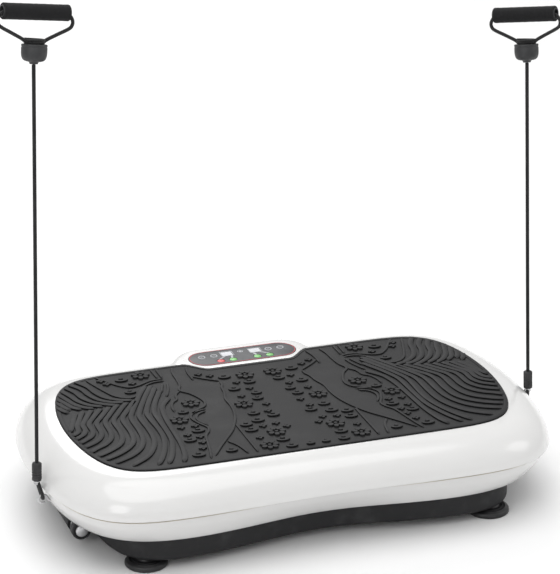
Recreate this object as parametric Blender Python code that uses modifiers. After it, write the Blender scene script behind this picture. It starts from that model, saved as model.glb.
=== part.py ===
"""Vibration plate: a see-saw deck on a low base, with two resistance bands.

Metres, +Z up. The origin is on the floor at the centre of the base: X runs along
the long side, and the control panel is on the +Y side.
"""
import math

import bmesh
import bpy
from mathutils import Matrix, Vector

# Driving sizes of the deck
WIDEST_A, WIDEST_B, WIDEST_Z = 0.3350, 0.2022, 0.0820
PART_A, PART_B, PART_Z = 0.3297, 0.1964, 0.0760
HEM_A, HEM_B, HEM_Z = 0.3112, 0.1810, 0.0410
SHELL_TOP, SHELL_WALL, SKIRT_WALL, ABOVE_SHELL = 0.1225, 0.0040, 0.0025, 0.1400
MAT_A, MAT_B, MAT_TOP = 0.2850, 0.1505, 0.1245
MAT_BED = 0.1202
NOTCH_Y, NOTCH_FLAT, NOTCH_END = 0.1255, 0.055, 0.0885
PLATE_TOP = 0.1180
# Driving sizes of the base
TRAY_A, TRAY_B, TRAY_BOTTOM, TRAY_TOP, TRAY_WALL = 0.2700, 0.1765, 0.0115, 0.0480, 0.0030
CHASSIS_Z, CHASSIS_T = 0.0148, 0.0030
FOOT_X, FOOT_Y, FOOT_R = 0.2255, 0.1463, 0.0265
# Axes of what turns, all parallel to Y
PIVOT_Z, PIVOT_R = 0.0600, 0.0080
CRANK_X, CRANK_Z, CRANK_THROW = 0.1150, 0.0470, 0.0030
MOTOR_X, MOTOR_Z = -0.1150, 0.0560
BELT_Y = 0.0600
WHEEL_X, WHEEL_Z, WHEEL_R = -0.2875, 0.0235, 0.0125
LINK_PIN_Z = 0.0940
# Control panel
PANEL_Y, PANEL_HALF, PANEL_R, PANEL_TOP, PANEL_T = 0.1565, 0.0735, 0.0232, 0.1250, 0.0030
RING_KEYS = {"key_power": (-0.0545, 0.162), "key_mode": (-0.0378, 0.162),
             "key_start": (0.0378, 0.162), "key_stop": (0.0545, 0.162)}
ROUND_KEYS = {"key_time_down": (-0.0337, 0.1436), "key_time_up": (-0.0168, 0.1436),
              "key_speed_down": (0.0168, 0.1436), "key_speed_up": (0.0337, 0.1436)}
DISPLAYS = {"display_time": (-0.0194, 0.164), "display_speed": (0.0196, 0.164)}
KEY_R, KEY_PLAY, KEY_TOP, KEY_BOTTOM = 0.0051, 0.0004, 0.1254, 0.1224
# Resistance bands: side, Y and X of the wire eye, X and Z of the handle's lower end, tilt and turn of the handle
BANDS = {"left": (-1, -0.065, -0.3315, -0.3266, 0.6185, 9.3, 9.3),
         "right": (1, 0.000, 0.3355, 0.3238, 0.5385, -9.7, -48.0)}
EYE_Z, EYE_R, WIRE_R = 0.0665, 0.0055, 0.0015
SLEEVE_OUT, SLEEVE_Z, SLEEVE_LENGTH, SLEEVE_R = 0.0068, 0.0925, 0.0240, 0.0062
TUBE_R, STRAP_R = 0.0023, 0.0022
HANDLE_LEAN, GRIP_HEIGHT, GRIP_HALF = -11.0, 0.0598, 0.0425
GAP = 0.0003

for old in list(bpy.data.objects):
    bpy.data.objects.remove(old, do_unlink=True)
parts = bpy.data.collections.new("vibration_plate")
cutters = bpy.data.collections.new("cutters")
bpy.context.scene.collection.children.link(parts)
bpy.context.scene.collection.children.link(cutters)


def material(name, colour, roughness, metallic=0.0):
    made = bpy.data.materials.new(name)
    made.use_nodes = True
    shader = made.node_tree.nodes["Principled BSDF"]
    shader.inputs["Base Color"].default_value = (*colour, 1.0)
    shader.inputs["Roughness"].default_value = roughness
    shader.inputs["Metallic"].default_value = metallic
    return made


WHITE = material("white_gloss_plastic", (0.86, 0.86, 0.85), 0.22)
BLACK = material("black_matt_plastic", (0.035, 0.035, 0.037), 0.55)
RUBBER = material("black_rubber", (0.020, 0.020, 0.021), 0.70)
MAT_RUBBER = material("mat_rubber", (0.045, 0.045, 0.047), 0.62)
GREY = material("grey_plastic", (0.085, 0.087, 0.092), 0.45)
STEEL = material("zinc_plated_steel", (0.62, 0.62, 0.63), 0.30, 1.0)
PAINTED = material("painted_steel", (0.06, 0.06, 0.065), 0.45, 0.3)
FOAM = material("black_foam", (0.025, 0.025, 0.026), 0.92)
BRAID = material("black_cord", (0.022, 0.022, 0.023), 0.75)
BOARD = material("circuit_board", (0.03, 0.20, 0.09), 0.50)
GREEN = material("green_key", (0.16, 0.52, 0.11), 0.40)
RED = material("red_key", (0.62, 0.05, 0.06), 0.40)
DISPLAY = material("display_window", (0.72, 0.73, 0.75), 0.25)


def place(name, data, finish, location=(0, 0, 0), smooth=True):
    """Links a new object for one piece."""
    piece = bpy.data.objects.new(name, data)
    piece.location = location
    parts.objects.link(piece)
    data.materials.append(finish)
    if smooth and isinstance(data, bpy.types.Mesh):
        data.shade_smooth()
        data.set_sharp_from_angle(angle=math.radians(35))
    return piece


def as_cutter(piece):
    """Turns a piece into a hidden guide that Booleans can use."""
    parts.objects.unlink(piece)
    cutters.objects.link(piece)
    piece.hide_render = True
    piece.display_type = "WIRE"
    return piece


def cut(piece, tool, operation="DIFFERENCE"):
    step = piece.modifiers.new(operation.lower(), "BOOLEAN")
    step.operation = operation
    step.object = tool


def box(name, low, high, finish, location=(0, 0, 0), bevel=0.0):
    """A block between two corners, given from its location."""
    mesh = bpy.data.meshes.new(name)
    form = bmesh.new()
    bmesh.ops.create_cube(form, size=1.0)
    centre = (Vector(low) + Vector(high)) / 2
    size = Vector(high) - Vector(low)
    fit = Matrix.Translation(centre) @ Matrix.Diagonal((*size, 1))
    bmesh.ops.transform(form, matrix=fit, verts=form.verts)
    form.to_mesh(mesh)
    form.free()
    piece = place(name, mesh, finish, location, smooth=False)
    if bevel:
        edge = piece.modifiers.new("edge", "BEVEL")
        edge.width = bevel
        edge.segments = 2
    return piece


def turned(name, profile, finish, location=(0, 0, 0), along_y=False, steps=32, closed=False):
    """A turned piece. The profile is (radius, height), down its outer side from the top."""
    mesh = bpy.data.meshes.new(name)
    edges = [(i, i + 1) for i in range(len(profile) - 1)]
    if closed:
        edges.append((len(profile) - 1, 0))
    mesh.from_pydata([(radius, 0.0, height) for radius, height in profile], edges, [])
    piece = place(name, mesh, finish, location, smooth=False)
    if along_y:
        piece.rotation_euler = (math.radians(-90), 0, 0)
    screw = piece.modifiers.new("turn", "SCREW")
    screw.steps = steps
    screw.render_steps = steps
    screw.use_merge_vertices = True
    screw.merge_threshold = 0.00001
    screw.use_smooth_shade = True
    return piece


def rod(name, radius, start, end, finish, location=(0, 0, 0), steps=24):
    """A plain round bar along Y, from start to end."""
    profile = [(0, end), (radius, end), (radius, start), (0, start)]
    return turned(name, profile, finish, location, True, steps)


def ring(name, inner, outer, start, end, finish, location=(0, 0, 0), along_y=True, steps=32):
    """A round sleeve from start to end along its axis."""
    profile = [(outer, end), (outer, start), (inner, start), (inner, end)]
    return turned(name, profile, finish, location, along_y, steps, closed=True)


def smooth_path(points, step, cyclic=False):
    """Points at even steps along the smooth curve through the given ones."""
    knots = [Vector(p) for p in points]
    count = len(knots)
    fine = []
    for i in range(count if cyclic else count - 1):
        before = knots[i - 1] if i or cyclic else knots[0] * 2 - knots[1]
        after_next = knots[(i + 2) % count] if cyclic or i + 2 < count else knots[-1] * 2 - knots[-2]
        a, b = knots[i], knots[(i + 1) % count]
        for k in range(16):
            t = k / 16
            fine.append(0.5 * (2 * a + (b - before) * t + (2 * before - 5 * a + 4 * b - after_next) * t ** 2
                               + (3 * a - before - 3 * b + after_next) * t ** 3))
    fine.append(knots[0] if cyclic else knots[-1])
    return spaced(fine, step, cyclic)


def spaced(fine, step, cyclic):
    """The same line with its points an even distance apart."""
    reach = [0.0]
    for a, b in zip(fine, fine[1:]):
        reach.append(reach[-1] + (b - a).length)
    count = max(3, round(reach[-1] / step))
    path = []
    segment = 0
    for k in range(count if cyclic else count + 1):
        target = reach[-1] * k / count
        while segment < len(reach) - 2 and reach[segment + 1] < target:
            segment += 1
        length = reach[segment + 1] - reach[segment]
        share = (target - reach[segment]) / length if length else 0.0
        path.append(fine[segment].lerp(fine[segment + 1], min(1.0, share)))
    return path


def tube(name, path, radius, finish, cyclic=False, sides=2, location=(0, 0, 0)):
    curve = bpy.data.curves.new(name, "CURVE")
    curve.dimensions = "3D"
    curve.bevel_depth = radius
    curve.bevel_resolution = sides
    curve.use_fill_caps = not cyclic
    line = curve.splines.new("POLY")
    line.points.add(len(path) - 1)
    for point, where in zip(line.points, path):
        point.co = (*where, 1.0)
    line.use_cyclic_u = cyclic
    return place(name, curve, finish, location)


def oval(a, b, end_power, side_power, count=64, waist=0.0, dent=None):
    """An even-spaced oval with straight sides: |x/a|^end_power + |y/b|^side_power = 1.

    waist draws in the middle of both long sides by that share, and dent is a function of x
    that limits y on the +Y side.
    """
    dense = []
    for k in range(1601):
        turn = math.tau * k / 1600
        c, s = math.cos(turn), math.sin(turn)
        dense.append(Vector((math.copysign(a * abs(c) ** (2 / end_power), c),
                             math.copysign(b * abs(s) ** (2 / side_power), s), 0)))
    points = []
    for p in even_ring(dense, count):
        y = p.y * (1 - waist * math.exp(-(p.x / 0.12) ** 2))
        if dent and y > 0:
            y = min(y, dent(p.x))
        points.append((p.x, y))
    return points


def even_ring(dense, count):
    total = sum((b - a).length for a, b in zip(dense, dense[1:]))
    return spaced(dense, total / count, True)


def loft(name, rings, finish, cap_start=True, cap_end=True, location=(0, 0, 0)):
    """Joins rings of equal count, each a list of (x, y) and a height, from the first to the last."""
    form = bmesh.new()
    rows = [[form.verts.new((x, y, z)) for x, y in points] for points, z in rings]
    for lower, upper in zip(rows, rows[1:]):
        for i in range(len(lower)):
            j = (i + 1) % len(lower)
            form.faces.new((lower[i], lower[j], upper[j], upper[i]))
    if cap_start:
        form.faces.new(list(reversed(rows[0])))
    if cap_end:
        form.faces.new(rows[-1])
    mesh = bpy.data.meshes.new(name)
    form.to_mesh(mesh)
    form.free()
    return place(name, mesh, finish, location)


def stadium(half, radius, centre_y, count=14):
    """A long round-ended outline, half its length and its end radius, centred on x = 0."""
    points = []
    for sign in (1, -1):
        for k in range(count + 1):
            turn = -math.pi / 2 + math.pi * k / count
            x = sign * (half - radius + radius * math.cos(turn))
            points.append((x, centre_y + sign * radius * math.sin(turn)))
    return points


def shell(name, rings, wall, capped):
    """A moulded shell from rings listed top to bottom, thickened inwards."""
    piece = loft(name, list(reversed(rings)), WHITE, cap_start=False, cap_end=capped)
    thick = piece.modifiers.new("wall", "SOLIDIFY")
    thick.thickness = wall
    thick.offset = -1
    return piece


# Upper shell: a flat top with round shoulders, a console for the panel, and a bed for the mat
UPPER_RINGS = [(oval(0.2780, 0.1440, 11.0, 1.85), SHELL_TOP),
               (oval(0.2880, 0.1535, 10.6, 1.87), SHELL_TOP - 0.0003),
               (oval(0.3000, 0.1665, 10.0, 1.90), 0.1193),
               (oval(0.3130, 0.1805, 9.3, 1.92, waist=0.004), 0.1130),
               (oval(0.3245, 0.1925, 8.8, 1.94, waist=0.010), 0.1030),
               (oval(0.3320, 0.1995, 8.4, 1.95, waist=0.015), 0.0920),
               (oval(WIDEST_A, WIDEST_B, 8.2, 1.97, waist=0.020), WIDEST_Z),
               (oval(0.3340, 0.2010, 8.1, 2.10, waist=0.032), 0.0785),
               (oval(PART_A, PART_B, 7.9, 2.26, waist=0.047), PART_Z)]


def notch(x, margin=0.0):
    """How far back the mat reaches beside the console."""
    share = min(1.0, max(0.0, (abs(x) - NOTCH_FLAT) / (NOTCH_END - NOTCH_FLAT)))
    return NOTCH_Y + margin + (MAT_B - NOTCH_Y) * share * share * (3 - 2 * share)


def mat_outline(margin):
    """The mat's outline, wider by margin."""
    return oval(MAT_A + margin, MAT_B + margin, 11.3, 1.8, 80, dent=lambda x: notch(x, margin))


upper_shell = shell("upper_shell", UPPER_RINGS, SHELL_WALL, capped=True)
console = as_cutter(loft("console_block", [
    (stadium(0.1120, 0.0390, 0.1590), 0.0860),
    (stadium(0.1060, 0.0385, 0.1595), 0.1040),
    (stadium(0.0940, 0.0360, 0.1590), 0.1180),
    (stadium(0.0870, 0.0325, 0.1585), 0.1240),
    (stadium(0.0855, 0.0310, 0.1580), 0.1247)], WHITE))
cut(upper_shell, console, "UNION")
bed = as_cutter(loft("mat_bed", [
    (mat_outline(2 * GAP), MAT_BED - GAP),
    (mat_outline(2 * GAP), ABOVE_SHELL)], WHITE))
cut(upper_shell, bed)
hollow = as_cutter(loft("console_hollow", [
    (stadium(0.0800, 0.0290, 0.1580), 0.0700),
    (stadium(0.0800, 0.0290, 0.1580), 0.1192)], WHITE))
cut(upper_shell, hollow)
pocket = as_cutter(loft("panel_pocket", [
    (stadium(PANEL_HALF + 0.0004, PANEL_R + 0.0004, PANEL_Y), PANEL_TOP - PANEL_T - GAP),
    (stadium(PANEL_HALF + 0.0004, PANEL_R + 0.0004, PANEL_Y), ABOVE_SHELL)], WHITE))
cut(upper_shell, pocket)

# Lower shell: the skirt below the parting line
lower_shell = shell("lower_shell", [
    (oval(PART_A - GAP, PART_B - GAP, 7.9, 2.26, waist=0.047), PART_Z - GAP),
    (oval(0.3262, 0.1930, 7.5, 2.27, waist=0.070), 0.0640),
    (oval(0.3190, 0.1872, 6.9, 2.29, waist=0.095), 0.0510),
    (oval(0.3135, 0.1830, 6.6, 2.30, waist=0.110), 0.0435),
    (oval(HEM_A, HEM_B, 6.5, 2.30, waist=0.115), HEM_Z)], SKIRT_WALL, capped=False)

# Tread mat, notched for the console
loft("tread_mat", [
    (mat_outline(0.0), MAT_BED),
    (mat_outline(0.0), MAT_TOP - 0.0008),
    (mat_outline(-0.0010), MAT_TOP)], MAT_RUBBER)

# Control panel, its keys and displays
panel_face = loft("panel_face", [
    (stadium(PANEL_HALF, PANEL_R, PANEL_Y), PANEL_TOP - PANEL_T),
    (stadium(PANEL_HALF, PANEL_R, PANEL_Y), PANEL_TOP)], GREY)
for key, (x, y) in {**RING_KEYS, **ROUND_KEYS}.items():
    finish = GREY if key in RING_KEYS else RED if key == "key_time_down" else GREEN
    profile = [(0, KEY_TOP), (KEY_R - 0.0004, KEY_TOP), (KEY_R, KEY_TOP - 0.0003),
               (KEY_R, KEY_BOTTOM), (0, KEY_BOTTOM)]
    turned(key, profile, finish, (x, y, 0), steps=16)
    hole_r = KEY_R + KEY_PLAY
    through = [(0, 0.13), (hole_r, 0.13), (hole_r, 0.115), (0, 0.115)]
    hole = turned(key + "_hole", through, GREY, (x, y, 0), steps=16)
    cut(panel_face, as_cutter(hole))
WINDOW_X, WINDOW_Y = 0.0073, 0.0062
for name, (x, y) in DISPLAYS.items():
    box(name, (-WINDOW_X, -WINDOW_Y, 0.1222), (WINDOW_X, WINDOW_Y, 0.1249), DISPLAY, (x, y, 0))
    slot = box(name + "_slot", (-WINDOW_X - GAP, -WINDOW_Y - GAP, 0.115),
               (WINDOW_X + GAP, WINDOW_Y + GAP, 0.13), DISPLAY, (x, y, 0))
    cut(panel_face, as_cutter(slot))
box("control_board", (-0.0600, 0.1385, 0.1120), (0.0600, 0.1755, 0.1136), BOARD)

# Deck plate with its pivot yoke and the drive bracket
PLATE_A, PLATE_B, PLATE_T = 0.2350, 0.1120, 0.0030
box("deck_plate", (-PLATE_A, -PLATE_B, PLATE_TOP - PLATE_T), (PLATE_A, PLATE_B, PLATE_TOP), PAINTED,
    bevel=0.0006)
UNDER_PLATE = PLATE_TOP - PLATE_T - GAP
YOKE_BASE_T = 0.0040


def eared(name, x, ears, width, ear_z, bore_r, base_low, base_high):
    """A steel bracket: two ears across Y, bored along Y at height ear_z, on one base plate."""
    front, back = ears[0][0], ears[-1][1]
    piece = box(name, (-width / 2, front, base_low), (width / 2, back, base_high), PAINTED, (x, 0, 0))
    middle = (base_low + base_high) / 2
    for i, (start, end) in enumerate(ears):
        web = as_cutter(box(f"{name}_web_{i}", (-width / 2, start, min(ear_z, middle)),
                            (width / 2, end, max(ear_z, middle)), PAINTED, (x, 0, 0)))
        cut(piece, web, "UNION")
        round_end = as_cutter(rod(f"{name}_end_{i}", width / 2, start, end, PAINTED, (x, 0, ear_z)))
        cut(piece, round_end, "UNION")
    bore = rod(name + "_bore", bore_r, front - 0.01, back + 0.01, PAINTED, (x, 0, ear_z), 32)
    cut(piece, as_cutter(bore))


DRIVE_PIN_R = 0.0040
eared("pivot_yoke", 0.0, [(-0.040, -0.032), (0.022, 0.030)], 0.030, PIVOT_Z, PIVOT_R + 0.0001,
      UNDER_PLATE - YOKE_BASE_T, UNDER_PLATE)
eared("drive_bracket", CRANK_X, [(-0.030, -0.024), (0.000, 0.006)], 0.018, LINK_PIN_Z, DRIVE_PIN_R + GAP,
      UNDER_PLATE - YOKE_BASE_T, UNDER_PLATE)
rod("drive_pin", DRIVE_PIN_R, -0.032, 0.008, STEEL, (CRANK_X, 0, LINK_PIN_Z))
LINK_FRONT, LINK_BACK = -0.022, -0.002
BIG_END_R, BIG_END_BORE, SMALL_END_R = 0.0212, 0.0170, 0.0080
big_end_at = (CRANK_X, 0, CRANK_Z)
small_end_at = (CRANK_X, 0, LINK_PIN_Z)
drive_link = rod("drive_link", BIG_END_R, LINK_FRONT, LINK_BACK, PAINTED, big_end_at, 32)
stem = box("link_stem", (-0.0050, LINK_FRONT + 0.002, BIG_END_BORE + 0.002),
           (0.0050, LINK_BACK - 0.002, LINK_PIN_Z - CRANK_Z), PAINTED, big_end_at)
small_end = rod("link_small_end", SMALL_END_R, LINK_FRONT, LINK_BACK, PAINTED, small_end_at)
big_bore = rod("link_big_bore", BIG_END_BORE, -0.05, 0.05, PAINTED, big_end_at, 32)
small_bore = rod("link_small_bore", DRIVE_PIN_R + 0.0001, -0.05, 0.05, PAINTED, small_end_at, 32)
cut(drive_link, as_cutter(stem), "UNION")
cut(drive_link, as_cutter(small_end), "UNION")
cut(drive_link, as_cutter(big_bore))
cut(drive_link, as_cutter(small_bore))


# Base tray with a flat boss at the back for the mains inlet and the switch
def tray_outline(inset):
    """The tray's outline, smaller by inset."""
    return oval(TRAY_A - inset, TRAY_B - inset, 9.0, 3.6, waist=0.147)


base_tray = loft("base_tray", [
    (tray_outline(0.0040), TRAY_BOTTOM),
    (tray_outline(0.0012), TRAY_BOTTOM + 0.0010),
    (tray_outline(0.0), TRAY_BOTTOM + 0.0035),
    (tray_outline(0.0), TRAY_TOP)], BLACK)
cut(base_tray, as_cutter(loft("tray_hollow", [
    (tray_outline(TRAY_WALL), CHASSIS_Z - GAP),
    (tray_outline(TRAY_WALL), 0.0700)], BLACK)))
BOSS_BACK = 0.1722
cut(base_tray, as_cutter(box("boss", (0.1450, 0.1620, 0.0118), (0.2050, BOSS_BACK, 0.0345), BLACK)), "UNION")
INLET_X, INLET_HALF, SWITCH_X, SWITCH_HALF = 0.1870, 0.0120, 0.1595, 0.0095
HOLE_LOW, HOLE_HIGH = 0.0170, 0.0320
for name, x, half in (("inlet_hole", INLET_X, INLET_HALF), ("switch_hole", SWITCH_X, SWITCH_HALF)):
    cut(base_tray, as_cutter(box(name, (-half, 0.150, HOLE_LOW), (half, 0.180, HOLE_HIGH), BLACK, (x, 0, 0))))


def snap_in(name, x, half, flange_half, flange_low, flange_high, flange_back, well):
    """A body that snaps into the boss: a block through its hole, a flange, and a well sunk from the back."""
    piece = box(name, (GAP - half, 0.1500, HOLE_LOW + GAP), (half - GAP, 0.1730, HOLE_HIGH - GAP),
                BLACK, (x, 0, 0))
    flange = box(name + "_flange", (-flange_half, BOSS_BACK + GAP, flange_low),
                 (flange_half, flange_back, flange_high), BLACK, (x, 0, 0))
    cut(piece, as_cutter(flange), "UNION")
    cut(piece, as_cutter(box(name + "_well", *well, BLACK, (x, 0, 0))))


snap_in("power_inlet", INLET_X, INLET_HALF, 0.0140, 0.0155, 0.0338, 0.1740,
        ((-0.0085, 0.1600, 0.0203), (0.0085, 0.1800, 0.0287)))
snap_in("switch_body", SWITCH_X, SWITCH_HALF, 0.0108, 0.0160, 0.0330, 0.1738,
        ((-0.0084, 0.1620, 0.0190), (0.0084, 0.1800, 0.0300)))
ROCKER_AXIS_Y = 0.1700
rocker_axis = bpy.data.objects.new("rocker_axis", None)
rocker_axis.location = (SWITCH_X, ROCKER_AXIS_Y, 0)
parts.objects.link(rocker_axis)
rocker = box("rocker_switch", (-0.0076, -0.0020, 0.0193), (0.0076, 0.0040, 0.0297), RED, bevel=0.0006)
rocker.parent = rocker_axis
rocker.rotation_euler = (0, 0, math.radians(-9))

# Suction feet, each one moulding with the spigot that plugs it into the tray and chassis
SPIGOT_R = 0.0050
FOOT_PROFILE = [(0, 0.0200), (SPIGOT_R, 0.0200), (SPIGOT_R, 0.0112), (0.0115, 0.0112), (0.0140, 0.0080),
                (0.0225, 0.0080), (0.0260, 0.0058), (FOOT_R, 0.0030), (0.0250, 0.0), (0.0200, 0.0),
                (0, 0.0025)]
for name, sx, sy in (("foot_front_left", -1, -1), ("foot_front_right", 1, -1),
                     ("foot_back_left", -1, 1), ("foot_back_right", 1, 1)):
    turned(name, FOOT_PROFILE, RUBBER, (sx * FOOT_X, sy * FOOT_Y, 0), steps=24)

# Chassis plate on the tray's floor
CHASSIS_A, CHASSIS_B = 0.2450, 0.1300
WING_HALF, WING_X, WING_B = 0.0130, 0.2180, 0.1495
CHASSIS_HIGH = CHASSIS_Z + CHASSIS_T
chassis = box("chassis_plate", (-CHASSIS_A, -CHASSIS_B, CHASSIS_Z),
              (CHASSIS_A, CHASSIS_B, CHASSIS_HIGH), PAINTED)
for side, x in (("right", WING_X), ("left", -WING_X)):
    wing = box(f"chassis_wing_{side}", (-WING_HALF, -WING_B, CHASSIS_Z), (WING_HALF, WING_B, CHASSIS_HIGH),
               PAINTED, (x, 0, 0))
    cut(chassis, as_cutter(wing), "UNION")
spigot_hole = [(0, 0.03), (SPIGOT_R + GAP, 0.03), (SPIGOT_R + GAP, 0.005), (0, 0.005)]
for sx in (-1, 1):
    for sy in (-1, 1):
        drill = turned(f"spigot_hole_{sx}_{sy}", spigot_hole, STEEL, (sx * FOOT_X, sy * FOOT_Y, 0), steps=24)
        cut(chassis, as_cutter(drill))
        cut(base_tray, drill)
CHASSIS_TOP = CHASSIS_HIGH + GAP
BRACKET_BASE_T = 0.0040

# See-saw pivot, crankshaft in its bracket, motor and belt
eared("pivot_bracket", 0.0, [(-0.055, -0.047), (0.036, 0.044)], 0.034, PIVOT_Z, PIVOT_R + GAP,
      CHASSIS_TOP, CHASSIS_TOP + BRACKET_BASE_T)
rod("pivot_shaft", PIVOT_R, -0.058, 0.047, STEEL, (0, 0, PIVOT_Z), 32)
SHAFT_R, JOURNAL_R = 0.0080, 0.0100
eared("shaft_bracket", CRANK_X, [(-0.062, -0.048), (0.028, 0.042)], 0.040, CRANK_Z, SHAFT_R + 0.0001,
      CHASSIS_TOP, CHASSIS_TOP + BRACKET_BASE_T)
crankshaft = rod("crankshaft", SHAFT_R, -0.066, 0.066, STEEL, (CRANK_X, 0, CRANK_Z), 32)
journal = rod("crank_journal", JOURNAL_R, -0.026, 0.002, STEEL, (CRANK_X + CRANK_THROW, 0, CRANK_Z), 32)
cut(crankshaft, as_cutter(journal), "UNION")


def pulley_profile(radius, hub_r):
    """Half section of a grooved pulley with a bore, about the belt's plane."""
    return [(radius, 0.0080), (radius, 0.0060), (radius - 0.0025, 0.0050), (radius - 0.0025, -0.0050),
            (radius, -0.0060), (radius, -0.0080), (hub_r, -0.0080), (hub_r, 0.0080)]


turned("driven_pulley", pulley_profile(0.0240, SHAFT_R + GAP), BLACK, (CRANK_X, BELT_Y, CRANK_Z), True, 24,
       closed=True)
rotor = [(0, 0.0100), (0.0040, 0.0100), (0.0040, 0.0080)] + pulley_profile(0.0120, 0.0040)[:6]
rotor += [(0.0040, -0.0080), (0.0040, -0.0300), (0, -0.0300)]
turned("motor_pulley", rotor, STEEL, (MOTOR_X, BELT_Y, MOTOR_Z), True, 16)
can = [(0, 0.0400), (0.0300, 0.0400), (0.0330, 0.0370), (0.0330, -0.0570), (0.0300, -0.0600), (0, -0.0600)]
motor_can = turned("motor_can", can, PAINTED, (MOTOR_X, 0, MOTOR_Z), True, 24)
cut(motor_can, as_cutter(rod("motor_bore", 0.0044, 0.0200, 0.0600, STEEL, (MOTOR_X, 0, MOTOR_Z), 16)))
BRACKET_HALF, BRACKET_FRONT, BRACKET_T = 0.0300, 0.0403, 0.0040
motor_bracket = box("motor_bracket", (-BRACKET_HALF, BRACKET_FRONT, CHASSIS_TOP),
                    (BRACKET_HALF, BRACKET_FRONT + BRACKET_T, 0.0920), PAINTED, (MOTOR_X, 0, 0))
bracket_foot = box("bracket_foot", (-BRACKET_HALF, -0.0200, CHASSIS_TOP),
                   (BRACKET_HALF, BRACKET_FRONT + BRACKET_T / 2, CHASSIS_TOP + 0.0030),
                   PAINTED, (MOTOR_X, 0, 0))
bracket_bore = rod("bracket_bore", 0.0060, 0.03, 0.06, PAINTED, (MOTOR_X, 0, MOTOR_Z), 16)
cut(motor_bracket, as_cutter(bracket_foot), "UNION")
cut(motor_bracket, as_cutter(bracket_bore))

BELT_T = 0.0018


def belt_loop(extra):
    """The belt's outline in XZ round both pulleys, extra metres outside their groove floors."""
    big, small = 0.0215 + extra, 0.0095 + extra
    run = Vector((MOTOR_X - CRANK_X, MOTOR_Z - CRANK_Z))
    facing = math.atan2(run.y, run.x)
    lean = math.acos((big - small) / run.length)
    points = []
    for centre, radius, start, sweep in (((CRANK_X, CRANK_Z), big, facing + lean, math.tau - 2 * lean),
                                         ((MOTOR_X, MOTOR_Z), small, facing - lean, 2 * lean)):
        for k in range(13):
            turn = start + sweep * k / 12
            points.append((centre[0] + radius * math.cos(turn), centre[1] + radius * math.sin(turn)))
    return points


outer_loop = belt_loop(GAP + BELT_T)
drive_belt = loft("drive_belt", [(outer_loop, -0.0045), (outer_loop, 0.0045)], RUBBER,
                  location=(0, BELT_Y, 0))
belt_core = as_cutter(loft("belt_core", [(belt_loop(GAP), -0.02), (belt_loop(GAP), 0.02)], RUBBER,
                           location=(0, BELT_Y, 0)))
for flat in (drive_belt, belt_core):
    flat.rotation_euler = (math.radians(90), 0, 0)
cut(drive_belt, belt_core)

# Power board: circuit board, transformer and capacitor on four stand-offs
BOARD_X, BOARD_Z = 0.1950, 0.0240
power_board = box("power_board", (-0.0280, -0.0550, BOARD_Z), (0.0280, 0.0550, BOARD_Z + 0.0016), BOARD,
                  (BOARD_X, 0, 0))
transformer = box("transformer", (-0.0200, -0.0450, BOARD_Z + 0.0010), (0.0160, -0.0050, 0.0520), BOARD,
                  (BOARD_X, 0, 0))
can = [(0, 0.048), (0.0090, 0.048), (0.0090, BOARD_Z + 0.0010), (0, BOARD_Z + 0.0010)]
capacitor = turned("capacitor", can, BOARD, (BOARD_X, 0.0250, 0), steps=16)
cut(power_board, as_cutter(transformer), "UNION")
cut(power_board, as_cutter(capacitor), "UNION")
stand_off = [(0, BOARD_Z + 0.0008), (0.0028, BOARD_Z + 0.0008), (0.0028, CHASSIS_TOP), (0, CHASSIS_TOP)]
for i, (x, y) in enumerate(((-0.024, -0.050), (0.024, -0.050), (-0.024, 0.050), (0.024, 0.050))):
    leg = turned(f"board_leg_{i}", stand_off, BOARD, (BOARD_X + x, y, 0), steps=8)
    cut(power_board, as_cutter(leg), "UNION")

# Transport wheels in a carrier on the left end of the tray
CARRIER_HALF = 0.0580
wheel_carrier = rod("wheel_carrier", 0.0120, -CARRIER_HALF, CARRIER_HALF, BLACK, (WHEEL_X, 0, WHEEL_Z), 28)
AXLE_R, WHEEL_IN, WHEEL_OUT = 0.0035, 0.0690, 0.0800
carrier_root = box("carrier_root", (WHEEL_X, -CARRIER_HALF, WHEEL_Z - 0.0080),
                   (-TRAY_A - GAP, CARRIER_HALF, WHEEL_Z + 0.0120), BLACK)
carrier_bore = rod("carrier_bore", AXLE_R + GAP, -0.07, 0.07, BLACK, (WHEEL_X, 0, WHEEL_Z), 20)
cut(wheel_carrier, as_cutter(carrier_root), "UNION")
cut(wheel_carrier, as_cutter(carrier_bore))
half_axle = [(AXLE_R, 0.0), (AXLE_R, CARRIER_HALF + GAP), (0.0085, CARRIER_HALF + GAP), (0.0085, 0.0600),
             (AXLE_R, 0.0600), (AXLE_R, WHEEL_OUT + GAP), (0.0064, WHEEL_OUT + GAP), (0.0064, 0.0822),
             (0.0050, 0.0835), (0, 0.0838)]
mirrored = [(r, -y) for r, y in half_axle[1:]]
turned("wheel_axle", list(reversed(half_axle)) + mirrored, STEEL, (WHEEL_X, 0, WHEEL_Z), True, 16)
for name, start, end in (("wheel_front", -WHEEL_OUT, -WHEEL_IN), ("wheel_back", WHEEL_IN, WHEEL_OUT)):
    profile = [(WHEEL_R - 0.0012, end), (WHEEL_R, end - 0.0012), (WHEEL_R, start + 0.0012),
               (WHEEL_R - 0.0012, start), (AXLE_R + 0.0001, start), (AXLE_R + 0.0001, end)]
    turned(name, profile, BLACK, (WHEEL_X, 0, WHEEL_Z), True, 24, closed=True)

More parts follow.
